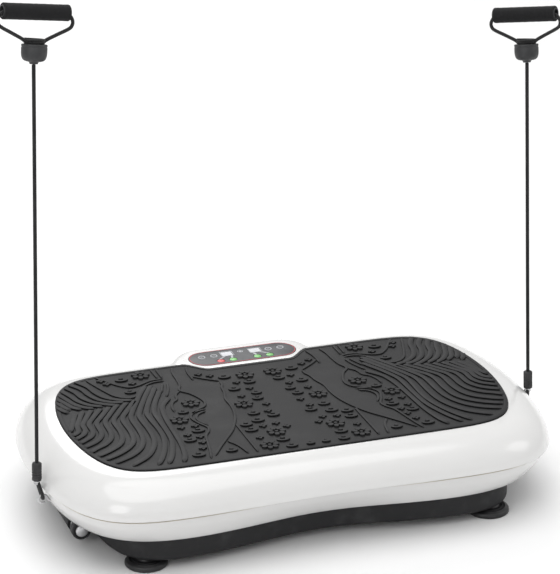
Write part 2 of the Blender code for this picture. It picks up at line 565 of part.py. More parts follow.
# Resistance bands: each one hooks into a wire eye on the lower shell
HANDLE_STRAP = [(0.0000, 0.0000, 0.0598), (0.0200, 0, 0.0598), (0.0380, 0, 0.0592), (0.0440, 0, 0.0562),
                (0.0474, 0, 0.0503), (0.0464, 0, 0.0448), (0.0420, 0, 0.0410), (0.0270, 0, 0.0340),
                (0.0140, 0, 0.0275), (0.0098, 0, 0.0225), (0.0078, 0, 0.0172), (0.0045, 0, 0.0138),
                (0, 0, 0.0128)]
CUP = [(0, 0.0085), (0.0070, 0.0090), (0.0120, 0.0120), (0.0135, 0.0228), (0.0152, 0.0226),
       (0.0152, 0.0120), (0.0140, 0.0070), (0.0110, 0.0036), (0.0056, 0.0022), (0.0050, 0.0), (0, 0.0)]
EYE_BORE = [(0, 0.02), (WIRE_R + GAP, 0.02), (WIRE_R + GAP, -0.02), (0, -0.02)]
for side, (sign, y, eye_x, top_x, top_z, tilt, turn) in BANDS.items():
    ring_centre = Vector((eye_x, y, EYE_Z))
    inward = Vector((-sign * 0.95, 0, -0.312)).normalized()
    across = Vector((inward.z, 0, -inward.x)) * sign
    wire = [ring_centre + inward * 0.0300, ring_centre + inward * 0.0180, ring_centre + inward * 0.0085]
    for k in range(10):
        swing = math.radians(42 + 276 * k / 9)
        wire.append(ring_centre + inward * EYE_R * math.cos(swing) + across * EYE_R * math.sin(swing))
    tube(f"anchor_eye_{side}", smooth_path(wire, 0.0022), WIRE_R, STEEL)
    bore = turned(f"eye_hole_{side}", EYE_BORE, STEEL, ring_centre + inward * 0.0190, steps=16)
    bore.rotation_euler = inward.to_track_quat("Z", "Y").to_euler()
    cut(lower_shell, as_cutter(bore))
    foot = Vector((eye_x + sign * SLEEVE_OUT, y, SLEEVE_Z))
    top = Vector((top_x, y, top_z))
    up = (top - foot).normalized()
    loop_low = Vector((eye_x, y, EYE_Z + EYE_R - WIRE_R - TUBE_R - 3 * GAP))
    loop_high = Vector((foot.x - sign * 0.0010, y, SLEEVE_Z - TUBE_R - GAP))
    centre = (loop_low + loop_high) / 2
    rise = (loop_high - loop_low) / 2
    spread = Vector((0, 0.0052, 0))
    loop = []
    for k in range(12):
        loop.append(centre + rise * math.cos(math.tau * k / 12) + spread * math.sin(math.tau * k / 12))
    tube(f"band_loop_{side}", smooth_path(loop, 0.0030, cyclic=True), TUBE_R, BRAID, cyclic=True)
    sleeve = turned(f"band_sleeve_{side}", [(0, SLEEVE_LENGTH), (SLEEVE_R - 0.0016, SLEEVE_LENGTH),
                                            (SLEEVE_R, SLEEVE_LENGTH - 0.0020), (SLEEVE_R, 0.0012),
                                            (SLEEVE_R - 0.0010, 0), (0, 0)], RUBBER, foot, steps=8)
    sleeve.rotation_euler = up.to_track_quat("Z", "Y").to_euler()
    start = foot + up * (SLEEVE_LENGTH + GAP)
    finish_at = top - up * 3 * GAP
    line = smooth_path([start, start.lerp(finish_at, 0.5), finish_at], 0.0140)
    tube(f"band_tube_{side}", line, TUBE_R, RUBBER)
    handle = bpy.data.objects.new(f"handle_frame_{side}", None)
    handle.location = top
    handle.rotation_mode = "XYZ"
    handle.rotation_euler = (math.radians(HANDLE_LEAN), math.radians(tilt), math.radians(turn))
    parts.objects.link(handle)
    strap_half = [Vector(p) for p in HANDLE_STRAP]
    strap_line = strap_half + [Vector((-p.x, 0, p.z)) for p in reversed(strap_half[1:-1])]
    strap_path = smooth_path(strap_line, 0.0080, True)
    pieces = [turned(f"handle_cup_{side}", CUP, GREY, steps=20),
              tube(f"handle_strap_{side}", strap_path, STRAP_R, BRAID, cyclic=True)]
    for name, inner, outer, half, finish in (("grip_core", 0.0058, 0.0072, GRIP_HALF, GREY),
                                             ("foam_grip", 0.0075, 0.0097, GRIP_HALF - 0.0007, FOAM)):
        grip = ring(f"{name}_{side}", inner, outer, -half, half, finish, (0, 0, GRIP_HEIGHT), steps=24)
        grip.rotation_euler = (math.radians(-90), 0, math.radians(-90))
        pieces.append(grip)
    for piece in pieces:
        piece.parent = handle
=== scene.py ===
"""A vibration plate with two resistance bands, on a pale studio floor.

Metres, +Z up. X runs along the plate, and the control panel is on the +Y side.
"""
import math

import bmesh
import bpy
from mathutils import Euler, Matrix, Vector


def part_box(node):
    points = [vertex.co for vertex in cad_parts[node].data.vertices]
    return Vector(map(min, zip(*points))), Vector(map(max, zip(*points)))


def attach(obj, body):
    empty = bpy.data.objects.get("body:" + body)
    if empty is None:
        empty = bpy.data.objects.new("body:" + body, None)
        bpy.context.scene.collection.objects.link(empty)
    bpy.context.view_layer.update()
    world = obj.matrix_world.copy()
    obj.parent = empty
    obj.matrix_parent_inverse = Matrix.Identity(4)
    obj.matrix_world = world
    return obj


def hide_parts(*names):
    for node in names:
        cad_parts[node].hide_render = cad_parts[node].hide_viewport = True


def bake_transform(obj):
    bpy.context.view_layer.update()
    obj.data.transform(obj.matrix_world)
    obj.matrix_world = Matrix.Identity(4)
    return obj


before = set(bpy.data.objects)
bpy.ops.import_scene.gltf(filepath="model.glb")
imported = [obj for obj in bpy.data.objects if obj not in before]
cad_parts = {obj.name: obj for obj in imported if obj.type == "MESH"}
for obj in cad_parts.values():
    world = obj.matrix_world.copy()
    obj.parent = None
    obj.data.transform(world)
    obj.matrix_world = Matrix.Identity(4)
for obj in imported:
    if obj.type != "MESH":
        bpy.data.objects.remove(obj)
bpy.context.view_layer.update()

# ---------------------------------------------------------------------------
# Camera: a long lens from the front left, a little above the plate.
# ---------------------------------------------------------------------------
AIM = Vector((-0.0026, 0.0007, 0.2779))
AZIMUTH, ELEVATION, ROLL = (math.radians(v) for v in (-19.4223, 21.4444, 0.1895))
DISTANCE = 3.4955
to_camera = Vector((math.sin(AZIMUTH) * math.cos(ELEVATION), -math.cos(AZIMUTH) * math.cos(ELEVATION),
                    math.sin(ELEVATION)))
level = Vector((math.cos(AZIMUTH), math.sin(AZIMUTH), 0))
upright = to_camera.cross(level)
right_hand = level * math.cos(ROLL) + upright * math.sin(ROLL)
overhead = upright * math.cos(ROLL) - level * math.sin(ROLL)

lens = bpy.data.cameras.new("camera")
lens.sensor_fit = "HORIZONTAL"
lens.sensor_width = 36.0
lens.lens = 179.88
lens.clip_end = 30.0
camera = bpy.data.objects.new("camera", lens)
bpy.context.scene.collection.objects.link(camera)
camera.matrix_world = Matrix.Translation(AIM + to_camera * DISTANCE) @ Matrix(
    (right_hand, overhead, to_camera)).transposed().to_4x4()
bpy.context.scene.camera = camera

# ---------------------------------------------------------------------------
# Resistance bands: drawn rubber tube, 4.6 mm thick, held taut by its handle.
# A rubber sleeve and a crimped ferrule join the lower end to a woven loop,
# which is hooked through a wire eye in the seam of the shells.
# ---------------------------------------------------------------------------


class Wire:
    """A node's output. Sums on wires add Math nodes to the same tree."""

    def __init__(self, graph, socket):
        self.graph = graph
        self.socket = socket

    def math(self, operation, *values):
        return self.graph.add("ShaderNodeMath", {"operation": operation}, dict(enumerate(values)))

    def __add__(self, other):
        return self.math("ADD", self, other)

    def __sub__(self, other):
        return self.math("SUBTRACT", self, other)

    def __rsub__(self, other):
        return self.math("SUBTRACT", other, self)

    def __mul__(self, other):
        return self.math("MULTIPLY", self, other)

    def __truediv__(self, other):
        return self.math("DIVIDE", self, other)

    def __pow__(self, other):
        return self.math("POWER", self, other)

    def sine(self):
        return self.math("SINE", self)

    def size(self):
        return self.math("ABSOLUTE", self)

    def step(self, low, high):
        """0 below low, 1 above high, and smooth between them."""
        sockets = {"Value": self, "From Min": low, "From Max": high}
        return self.graph.add("ShaderNodeMapRange", {"interpolation_type": "SMOOTHSTEP"}, sockets)

    __radd__ = __add__
    __rmul__ = __mul__


class Graph:
    """A node tree that add() builds, one node at a time."""

    def __init__(self, tree):
        self.tree = tree

    def add(self, kind, settings=None, sockets=None, output=0):
        """Adds a node: its settings first, then the value or link of each socket, by name or number."""
        node = self.tree.nodes.new(kind)
        for name, value in (settings or {}).items():
            setattr(node, name, value)
        for name, value in (sockets or {}).items():
            if isinstance(value, Wire):
                self.tree.links.new(value.socket, node.inputs[name])
            else:
                node.inputs[name].default_value = value
        return Wire(self, node.outputs[output])


class Finish(Graph):
    """A material. What is constant is set on its surface shader, and feed() links what varies."""

    def __init__(self, name, **constants):
        self.material = bpy.data.materials.new(name)
        self.material.use_nodes = True
        super().__init__(self.material.node_tree)
        self.surface = self.tree.nodes["Principled BSDF"]
        for socket, value in constants.items():
            self.surface.inputs[socket.replace("_", " ")].default_value = value
        self.place = self.add("ShaderNodeTexCoord", output="Object")

    def feed(self, socket, wire):
        self.tree.links.new(wire.socket, self.surface.inputs[socket])

    def grain(self, scale, detail=3.0):
        """Even noise from 0 to 1, with scale spots to the metre."""
        return self.add("ShaderNodeTexNoise", None, {"Vector": self.place, "Scale": scale, "Detail": detail})

    def cells(self, scale):
        """Distance to scattered points, with scale cells to the metre."""
        return self.add("ShaderNodeTexVoronoi", {"feature": "F1"}, {"Vector": self.place, "Scale": scale})

    def axis(self, name, where=None):
        """One coordinate: X, Y or Z."""
        return self.add("ShaderNodeSeparateXYZ", None, {0: where or self.place}, name)

    def tint(self, share, first, second):
        """The first colour where share is 0, the second where it is 1. Each is numbers or a wire."""
        ends = [end if isinstance(end, Wire) else (*end, 1.0) for end in (first, second)]
        return self.add("ShaderNodeMix", {"data_type": "RGBA"}, {0: share, 6: ends[0], 7: ends[1]}, 2)

    def relief(self, height, depth):
        """Small raised and sunk places, depth metres between height 0 and 1."""
        self.feed("Normal", self.add("ShaderNodeBump", None, {"Height": height, "Distance": depth,
                                                              "Strength": 1.0}))


SHARP_ANGLE = math.radians(34)


def place(name, mesh, finish, body, slot, *stands_for):
    """Links a finished mesh as one piece on its body, smooth except at its sharp edges."""
    piece = bpy.data.objects.new(name, mesh)
    bpy.context.scene.collection.objects.link(piece)
    if finish:
        mesh.materials.clear()
        mesh.materials.append(finish.material)
    mesh.shade_smooth()
    mesh.set_sharp_from_angle(angle=SHARP_ANGLE)
    if body:
        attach(piece, body)
    if stands_for:
        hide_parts(*stands_for)
    return piece


def closed(form):
    """The mesh of a closed form, its doubles merged and its faces pointing outwards."""
    bmesh.ops.remove_doubles(form, verts=form.verts, dist=1e-6)
    bmesh.ops.dissolve_degenerate(form, edges=form.edges, dist=1e-7)
    bmesh.ops.recalc_face_normals(form, faces=form.faces)
    mesh = bpy.data.meshes.new("mesh")
    form.to_mesh(mesh)
    form.free()
    return mesh


def skin(form, rows, ends_meet=False):
    """Faces between rows of points, each row a ring, into a form that is open for more."""
    rings = [[form.verts.new(p) for p in row] for row in rows]
    count = len(rings[0])
    pairs = list(zip(rings, rings[1:])) + ([(rings[-1], rings[0])] if ends_meet else [])
    for lower, upper in pairs:
        for i in range(count):
            j = (i + 1) % count
            form.faces.new((lower[i], lower[j], upper[j], upper[i]))
    if not ends_meet:
        form.faces.new(list(reversed(rings[0])))
        form.faces.new(rings[-1])


def lofted(rows, ends_meet=False):
    """A closed mesh through rings of points."""
    form = bmesh.new()
    skin(form, rows, ends_meet)
    return closed(form)


def turned(profile, count, where, ends_meet=False):
    """A mesh turned about Z from (radius, height) points, then put in its place by a matrix."""
    form = bmesh.new()
    turns = [math.tau * k / count for k in range(count)]
    rows = [[(max(r, 1e-7) * math.cos(t), max(r, 1e-7) * math.sin(t), z) for t in turns] for r, z in profile]
    skin(form, rows, ends_meet)
    mesh = closed(form)
    mesh.transform(where)
    return mesh


def swept(path, radius, sides=16, ends_meet=False):
    """A tube's mesh along a path. Its UV map is metres along the tube and turns round it."""
    form = bmesh.new()
    count = len(path)
    side = (path[1] - path[0]).orthogonal().normalized()
    rows = []
    along = [0.0]
    for i, point in enumerate(path):
        ahead = path[(i + 1) % count] if ends_meet or i + 1 < count else point
        behind = path[i - 1] if ends_meet or i else point
        tangent = (ahead - behind).normalized()
        side = (side - tangent * side.dot(tangent)).normalized()
        up = tangent.cross(side)
        turns = [math.tau * k / sides for k in range(sides)]
        rows.append([point + (side * math.cos(t) + up * math.sin(t)) * radius for t in turns])
        along.append(along[-1] + (path[(i + 1) % count] - point).length)
    skin(form, rows, ends_meet)
    uv = form.loops.layers.uv.new("UVMap")
    form.verts.index_update()
    for face in form.faces:
        first = min(v.index % sides for v in face.verts)
        row = min(v.index // sides for v in face.verts)
        wraps_round = max(v.index % sides for v in face.verts) - first > 1
        wraps_along = max(v.index // sides for v in face.verts) - row > 1
        for corner in face.loops:
            k, i = corner.vert.index % sides, corner.vert.index // sides
            k = sides if wraps_round and k == 0 else k
            i = count if wraps_along and i == 0 else i
            corner[uv].uv = (along[i], k / sides)
    bmesh.ops.recalc_face_normals(form, faces=form.faces)
    mesh = bpy.data.meshes.new("mesh")
    form.to_mesh(mesh)
    form.free()
    return mesh


def smoothed(points, steps, ends_meet=False):
    """The smooth curve through points or rows of numbers, in so many steps between each two."""
    knots = [Vector(p) for p in points]
    count = len(knots)
    fine = []
    for i in range(count if ends_meet else count - 1):
        before = knots[i - 1] if i or ends_meet else knots[0] * 2 - knots[1]
        after = knots[(i + 2) % count] if ends_meet or i + 2 < count else knots[-1] * 2 - knots[-2]
        a, b = knots[i], knots[(i + 1) % count]
        for k in range(steps):
            t = k / steps
            fine.append(0.5 * (2 * a + (b - before) * t + (2 * before - 5 * a + 4 * b - after) * t ** 2
                               + (3 * a - before - 3 * b + after) * t ** 3))
    return fine + [knots[0] if ends_meet else knots[-1]]


def curve_through(points, step, ends_meet=False):
    """Points about step metres apart on the smooth curve through the given ones."""
    return spaced(smoothed(points, 20, ends_meet), step, ends_meet)


def spaced(fine, step, ends_meet=False):
    """The same line with its points an even distance apart."""
    reach = [0.0]
    for a, b in zip(fine, fine[1:]):
        reach.append(reach[-1] + (b - a).length)
    count = max(3, round(reach[-1] / step))
    path = []
    segment = 0
    for k in range(count if ends_meet else count + 1):
        target = reach[-1] * k / count
        while segment < len(reach) - 2 and reach[segment + 1] < target:
            segment += 1
        length = reach[segment + 1] - reach[segment]
        share = (target - reach[segment]) / length if length else 0.0
        path.append(fine[segment].lerp(fine[segment + 1], min(1.0, share)))
    return path


# Each band: side, Y and X of its wire eye, X and Z of the handle's lower end, the handle's tilt and turn
BANDS = {"left": (-1, -0.065, -0.3315, -0.3266, 0.6185, 9.3, 9.3),
         "right": (1, 0.000, 0.3355, 0.3238, 0.5385, -9.7, -48.0)}
EYE_Z, EYE_R, WIRE_R = 0.0665, 0.0055, 0.0015
SLEEVE_OUT, SLEEVE_Z, SLEEVE_LENGTH, SLEEVE_R = 0.0068, 0.0925, 0.0240, 0.0062
TUBE_R, STRAP_R = 0.0023, 0.0022
HANDLE_LEAN, GRIP_HEIGHT, GRIP_HALF = -11.0, 0.0598, 0.0425

tube_rubber = Finish("drawn_rubber", Roughness=0.42, Specular_IOR_Level=0.3)
bloom = tube_rubber.grain(70, 4)
tube_rubber.feed("Base Color", tube_rubber.tint(bloom.step(0.35, 0.75),
                                                (0.004, 0.004, 0.005), (0.014, 0.014, 0.015)))
tube_rubber.feed("Roughness", 0.34 + bloom * 0.22)
tube_rubber.relief(tube_rubber.grain(1500, 2), 0.00006)

woven = Finish("woven_cord", Roughness=0.8, Sheen_Weight=0.15)
thread = woven.add("ShaderNodeUVMap", {"uv_map": "UVMap"})
along, around = woven.axis("X", thread) * 1500, woven.axis("Y", thread) * math.tau * 4
plait = (along + around).sine() * (along - around).sine()
woven.feed("Base Color", woven.tint(plait.step(-0.5, 0.8), (0.002, 0.002, 0.002), (0.016, 0.016, 0.017)))
woven.feed("Roughness", 0.72 + woven.grain(900) * 0.25)
woven.relief(plait, 0.0004)

moulded_rubber = Finish("moulded_rubber", Roughness=0.6)
haze = moulded_rubber.grain(90, 5)
moulded_rubber.feed("Base Color", moulded_rubber.tint(haze.step(0.3, 0.8),
                                                      (0.010, 0.010, 0.011), (0.036, 0.036, 0.038)))
moulded_rubber.feed("Roughness", 0.48 + haze * 0.3)
moulded_rubber.relief(moulded_rubber.grain(1400, 2), 0.00008)

bright_metal = Finish("zinc_plate", Metallic=1.0, Roughness=0.3)
scratch = bright_metal.grain(500, 6)
tarnish = bright_metal.grain(60, 3)
bright_metal.feed("Base Color", bright_metal.tint(tarnish.step(0.3, 0.8),
                                                  (0.66, 0.66, 0.67), (0.44, 0.44, 0.45)))
bright_metal.feed("Roughness", 0.20 + scratch * 0.22)
bright_metal.relief(scratch, 0.00003)

FERRULE_PROFILE = [(0, 0), (0.0036, 0), (0.0040, 0.0004), (0.0040, 0.0016), (0.0035, 0.0020),
                   (0.0035, 0.0027), (0.0040, 0.0031), (0.0040, 0.0042), (0, 0.0042)]
FERRULE_DROP = 0.0044
GROOVES, GROOVE_DEPTH = (0.0050, 0.0085, 0.0120), 0.0006
TUBE_STEPS = 24


def shank_way(sign):
    """The way the shank of a wire eye runs into the shell: inwards and a little down."""
    return Vector((-sign * 0.95, 0, -0.312)).normalized()


bands = {}
for side, (sign, y, eye_x, top_x, top_z, tilt, turn) in BANDS.items():
    foot = Vector((eye_x + sign * SLEEVE_OUT, y, SLEEVE_Z))
    top = Vector((top_x, y, top_z))
    up = (top - foot).normalized()
    start, end = foot + up * (SLEEVE_LENGTH + 0.0003), top - up * 0.0009
    route = [start.lerp(end, k / TUBE_STEPS) for k in range(TUBE_STEPS + 1)]
    tube = swept(curve_through(route, 0.006), TUBE_R, 20)
    tube = place(f"tube_{side}", tube, tube_rubber, None, "rubber", f"band_tube_{side}")
    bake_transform(tube)
    standing = Matrix.Translation(foot) @ up.to_track_quat("Z", "Y").to_matrix().to_4x4()
    handle = Euler((math.radians(HANDLE_LEAN), math.radians(tilt), math.radians(turn))).to_matrix().to_4x4()
    handle.translation = top
    bands[side] = (tube, route, handle)

    # Sleeve: eight flats, a rolled lip at each end and three gripping grooves
    sleeve_profile = [(0, 0), (SLEEVE_R - 0.0012, 0), (SLEEVE_R - 0.0002, 0.0008), (SLEEVE_R, 0.0020)]
    for groove in GROOVES:
        sleeve_profile += [(SLEEVE_R, groove), (SLEEVE_R - GROOVE_DEPTH, groove + 0.0005),
                           (SLEEVE_R - GROOVE_DEPTH, groove + 0.0011), (SLEEVE_R, groove + 0.0016)]
    sleeve_profile += [(SLEEVE_R, 0.0220), (SLEEVE_R - 0.0010, 0.0234),
                       (TUBE_R + 0.0019, SLEEVE_LENGTH), (0, SLEEVE_LENGTH)]
    sleeve = turned(sleeve_profile, 8, standing)
    place(f"sleeve_{side}", sleeve, moulded_rubber, f"band_{side}", "rubber", f"band_sleeve_{side}")

    # Ferrule: a short crimped collar on the loop's doubled cord, just under the sleeve
    ferrule = turned(FERRULE_PROFILE, 28, standing @ Matrix.Translation((0, 0, -FERRULE_DROP)))
    place(f"ferrule_{side}", ferrule, bright_metal, f"band_{side}", "zinc_steel")

    # Loop: woven cord through the wire eye
    low = Vector((eye_x, y, EYE_Z + EYE_R - WIRE_R - TUBE_R - 0.0009))
    high = Vector((foot.x - sign * 0.0010, y, SLEEVE_Z - TUBE_R - 0.0003))
    centre, rise = (low + high) / 2, (high - low) / 2
    hoop = [centre + rise * math.cos(math.tau * k / 16) + Vector((0, 0.0052, 0)) * math.sin(math.tau * k / 16)
            for k in range(16)]
    loop = swept(curve_through(hoop, 0.0012, True), TUBE_R, 14, True)
    place(f"loop_{side}", loop, woven, f"band_{side}", "cord", f"band_loop_{side}")

    # Wire eye: bent steel rod whose shank passes through the lower shell
    inward = shank_way(sign)
    across = Vector((inward.z, 0, -inward.x)) * sign
    shank = [Vector((eye_x, y, EYE_Z)) + inward * reach for reach in (0.0300, 0.0180, 0.0085)]
    swings = [math.radians(42 + 276 * k / 9) for k in range(10)]
    bend = [Vector((eye_x, y, EYE_Z)) + inward * EYE_R * math.cos(swing) + across * EYE_R * math.sin(swing)
            for swing in swings]
    eye = swept(curve_through(shank + bend, 0.0008), WIRE_R, 14)
    place(f"eye_{side}", eye, bright_metal, "deck", "zinc_steel", f"anchor_eye_{side}")

# ---------------------------------------------------------------------------
# Handles: a moulded bell cup holds the knot of a woven loop, and the loop runs
# through a plastic tube with a black foam grip pushed over it.
# ---------------------------------------------------------------------------
CUP_PROFILE = [(0, 0), (0.0046, 0), (0.0050, 0.0005), (0.0053, 0.0018), (0.0060, 0.0025), (0.0085, 0.0029),
               (0.0112, 0.0037), (0.0131, 0.0052), (0.0143, 0.0074), (0.0149, 0.0100), (0.0152, 0.0130),
               (0.0152, 0.0186), (0.0149, 0.0192), (0.0149, 0.0200), (0.0152, 0.0206), (0.0152, 0.0222),
               (0.0148, 0.0228), (0.0141, 0.0229), (0.0136, 0.0224), (0.0132, 0.0180), (0.0122, 0.0125),
               (0.0100, 0.0100), (0.0070, 0.0090), (0, 0.0086)]
STRAP_LINE = [(0.0000, 0.0598), (0.0200, 0.0598), (0.0380, 0.0592), (0.0440, 0.0562), (0.0474, 0.0503),
              (0.0464, 0.0448), (0.0420, 0.0410), (0.0270, 0.0340), (0.0140, 0.0275), (0.0098, 0.0225),
              (0.0078, 0.0172), (0.0045, 0.0138), (0, 0.0128)]
KNOT_LOW, KNOT_HIGH, KNOT_R, KNOT_DEPTH, KNOT_FLARE = 0.0232, 0.0285, 0.0102, 0.0046, 0.35
KNOT_TURNS, KNOT_STEPS, KNOT_CORD_R = 2.5, 60, STRAP_R * 0.86
CORE_IN, CORE_OUT, FOAM_IN, FOAM_OUT = 0.0058, 0.0072, 0.0075, 0.0097

cup_plastic = Finish("cup_plastic", Roughness=0.5)
sparkle = cup_plastic.grain(1100, 3)
cup_plastic.feed("Base Color", cup_plastic.tint(cup_plastic.grain(60, 4).step(0.3, 0.8),
                                                (0.018, 0.0185, 0.020), (0.036, 0.037, 0.039)))
cup_plastic.feed("Roughness", 0.40 + sparkle * 0.22)
cup_plastic.relief(sparkle, 0.00012)

foam = Finish("closed_cell_foam", Roughness=0.95, Sheen_Weight=0.06, Specular_IOR_Level=0.2)
pores = foam.cells(1500)
foam.feed("Base Color", foam.tint(pores.step(0.1, 0.7), (0.002, 0.002, 0.002), (0.017, 0.017, 0.018)))
foam.feed("Roughness", 0.86 + foam.grain(400) * 0.12)
foam.relief(pores, 0.0004)

foam_profile = [(FOAM_IN, 0.0007 - GRIP_HALF), (FOAM_OUT - 0.0009, 0.0007 - GRIP_HALF),
                (FOAM_OUT - 0.0003, 0.0010 - GRIP_HALF), (FOAM_OUT, 0.0017 - GRIP_HALF)]
foam_profile += [(FOAM_OUT - 0.0002 * abs(math.sin(k * 1.9)), -0.0380 + 0.0038 * k) for k in range(21)]
foam_profile += [(r, -z) for r, z in reversed(foam_profile[:4])]
core_profile = [(CORE_IN, -GRIP_HALF), (CORE_OUT - 0.0003, -GRIP_HALF), (CORE_OUT, 0.0003 - GRIP_HALF),
                (CORE_OUT, GRIP_HALF - 0.0003), (CORE_OUT - 0.0003, GRIP_HALF), (CORE_IN, GRIP_HALF)]
for side, (tube, route, handle) in bands.items():
    cup = turned(CUP_PROFILE, 56, handle)
    cup = place(f"cup_{side}", cup, cup_plastic, f"handle_{side}", "cup_plastic", f"handle_cup_{side}")

    right = [(x, 0, z) for x, z in STRAP_LINE]
    ring = [handle @ Vector(p) for p in right + [(-x, 0, z) for x, _, z in reversed(right[1:-1])]]
    strap = swept(curve_through(ring, 0.0016, True), STRAP_R, 14, True)
    place(f"strap_{side}", strap, woven, f"handle_{side}", "cord", f"handle_strap_{side}")

    # Whipping: the cord's tail is wound round both legs of the loop where they leave the cup
    turns = [(math.tau * KNOT_TURNS * k / KNOT_STEPS, KNOT_LOW + (KNOT_HIGH - KNOT_LOW) * k / KNOT_STEPS)
             for k in range(KNOT_STEPS + 1)]
    wound = [handle @ Vector((math.cos(t) * (KNOT_R + KNOT_FLARE * (z - KNOT_LOW)),
                              math.sin(t) * KNOT_DEPTH, z)) for t, z in turns]
    place(f"strap_knot_{side}", swept(wound, KNOT_CORD_R, 12), woven, f"handle_{side}", "cord")

    across_grip = handle @ Matrix.Translation((0, 0, GRIP_HEIGHT)) @ Matrix.Rotation(math.radians(90), 4, "Y")
    core = turned(core_profile, 40, across_grip, True)
    place(f"grip_tube_{side}", core, cup_plastic, f"handle_{side}", "cup_plastic", f"grip_core_{side}")
    grip = turned(foam_profile, 56, across_grip, True)
    grip = place(f"grip_{side}", grip, foam, f"grip_{side}", "foam", f"foam_grip_{side}")
    (route[-1] - route[0]).length

# ---------------------------------------------------------------------------
# Upper shell: one injection moulding in gloss white ABS, 4 mm thick, with a
# bed for the mat and a console hill at the back with a pocket for the panel.
# ---------------------------------------------------------------------------
# Rings from the parting line up: half length, half width, end power, side power, waist, height
UPPER_RINGS = [(0.3297, 0.1964, 7.9, 2.26, 0.047, 0.0760), (0.3340, 0.2010, 8.1, 2.10, 0.032, 0.0785),
               (0.3350, 0.2022, 8.2, 1.97, 0.020, 0.0820), (0.3320, 0.1995, 8.4, 1.95, 0.015, 0.0920),
               (0.3245, 0.1925, 8.8, 1.94, 0.010, 0.1030), (0.3130, 0.1805, 9.3, 1.92, 0.004, 0.1130),
               (0.3000, 0.1665, 10.0, 1.90, 0.000, 0.1193), (0.2880, 0.1535, 10.6, 1.87, 0.000, 0.1222)]
SHELL_TOP, SHELL_WALL, BED_Z = 0.1225, 0.0040, 0.1199
MAT_A, MAT_B, MAT_ENDS, MAT_SIDES = 0.2850, 0.1505, 11.3, 1.8
BED_GAP, POCKET_GAP = 0.0006, 0.0004
NOTCH_Y, NOTCH_FLAT, NOTCH_END = 0.1255, 0.055, 0.0885
PANEL_Y, PANEL_HALF, PANEL_R = 0.1565, 0.0735, 0.0232
HILL_Y, HILL_HALF, HILL_R, HILL_TOP = 0.158, 0.0545, 0.031, 0.1247
HILL_SPREAD, HILL_DROP, HILL_POWER, HILL_BLEND = 0.0125, 0.045, 1.7, 0.0014
CONSOLE_HALF, CONSOLE_R = 0.0800, 0.0290
RING_POINTS, RING_STEPS, BED_STEPS = 384, 6, 20


def oval(a, b, end_power, side_power, waist=0.0, height=0.0, dent=None, count=RING_POINTS):
    """An even-spaced oval with straight sides. waist draws its middle in, and dent limits its back edge."""
    dense = []
    for k in range(1601):
        c, s = math.cos(math.tau * k / 1600), math.sin(math.tau * k / 1600)
        dense.append(Vector((math.copysign(a * abs(c) ** (2 / end_power), c),
                             math.copysign(b * abs(s) ** (2 / side_power), s), height)))
    length = sum((q - p).length for p, q in zip(dense, dense[1:]))
    ring = spaced(dense, length / count, True)
    for p in ring:
        p.y *= 1 - waist * math.exp(-(p.x / 0.12) ** 2)
        if dent and p.y > 0:
            p.y = min(p.y, dent(p.x))
    return ring


def notch(x, margin=0.0):
    """How far back the mat reaches beside the console."""
    share = min(1.0, max(0.0, (abs(x) - NOTCH_FLAT) / (NOTCH_END - NOTCH_FLAT)))
    return NOTCH_Y + margin + (MAT_B - NOTCH_Y) * share * share * (3 - 2 * share)


def stadium(half, radius, centre_y, height, count=28):
    """A long round-ended ring of points."""
    points = []
    for sign in (1, -1):
        for k in range(count + 1):
            turn = -math.pi / 2 + math.pi * k / count
            points.append(Vector((sign * (half - radius + radius * math.cos(turn)),
                                  centre_y + sign * radius * math.sin(turn), height)))
    return points


def inner(rows, wall):
    """The same rows moved inwards by the wall, square to the profile."""
    moved = []
    for i, row in enumerate(rows):
        ahead, behind = rows[min(i + 1, len(rows) - 1)], rows[max(i - 1, 0)]
        slope = Vector((ahead[0] - behind[0], ahead[5] - behind[5])).normalized()
        shifted = row.copy()
        shifted[0] -= wall * slope.y
        shifted[1] -= wall * slope.y
        shifted[5] += wall * slope.x
        moved.append(shifted)
    return moved


def on_hill(p):
    """The point lifted onto the console hill where the hill stands higher."""
    past_end = max(0.0, abs(p.x) - HILL_HALF)
    offset = Vector((past_end, p.y - HILL_Y))
    lean = past_end / offset.length if offset.length else 0.0
    beyond = max(0.0, offset.length - HILL_R) * (1 - 0.45 * lean * lean)
    share = min(1.0, beyond / HILL_SPREAD)
    hill = HILL_TOP - HILL_DROP * (1 - (1 - share ** HILL_POWER) ** (1 / HILL_POWER))
    if hill < p.z - 0.006:
        return p
    return Vector((p.x, p.y, (p.z + hill + math.hypot(p.z - hill, HILL_BLEND)) / 2 - 0.0002))


def carved(name, mesh, *cutters):
    """The mesh with the closed cutter meshes taken out of it."""
    body = bpy.data.objects.new(name, mesh)
    bpy.context.scene.collection.objects.link(body)
    tools = []
    for cutter in cutters:
        tool = bpy.data.objects.new(name + "_tool", cutter)
        bpy.context.scene.collection.objects.link(tool)
        cut = body.modifiers.new("cut", "BOOLEAN")
        cut.object = tool
        cut.solver = "MANIFOLD"
        tools.append(tool)
    bpy.context.view_layer.update()
    result = bpy.data.meshes.new_from_object(body.evaluated_get(bpy.context.evaluated_depsgraph_get()))
    for spent in [body] + tools:
        bpy.data.objects.remove(spent)
    return result


gloss_white = Finish("gloss_white_plastic", Roughness=0.2, Coat_Weight=0.5, Coat_Roughness=0.06)
cloud = gloss_white.grain(9, 3)
dust = gloss_white.grain(420, 6).step(0.62, 0.80)
shell_white = gloss_white.tint(cloud, (0.73, 0.727, 0.72), (0.69, 0.687, 0.68))
gloss_white.feed("Base Color", gloss_white.tint(dust * 0.25, shell_white, (0.62, 0.61, 0.59)))
gloss_white.feed("Roughness", 0.15 + cloud * 0.07 + dust * 0.18)
gloss_white.relief(gloss_white.grain(160, 2), 0.00005)

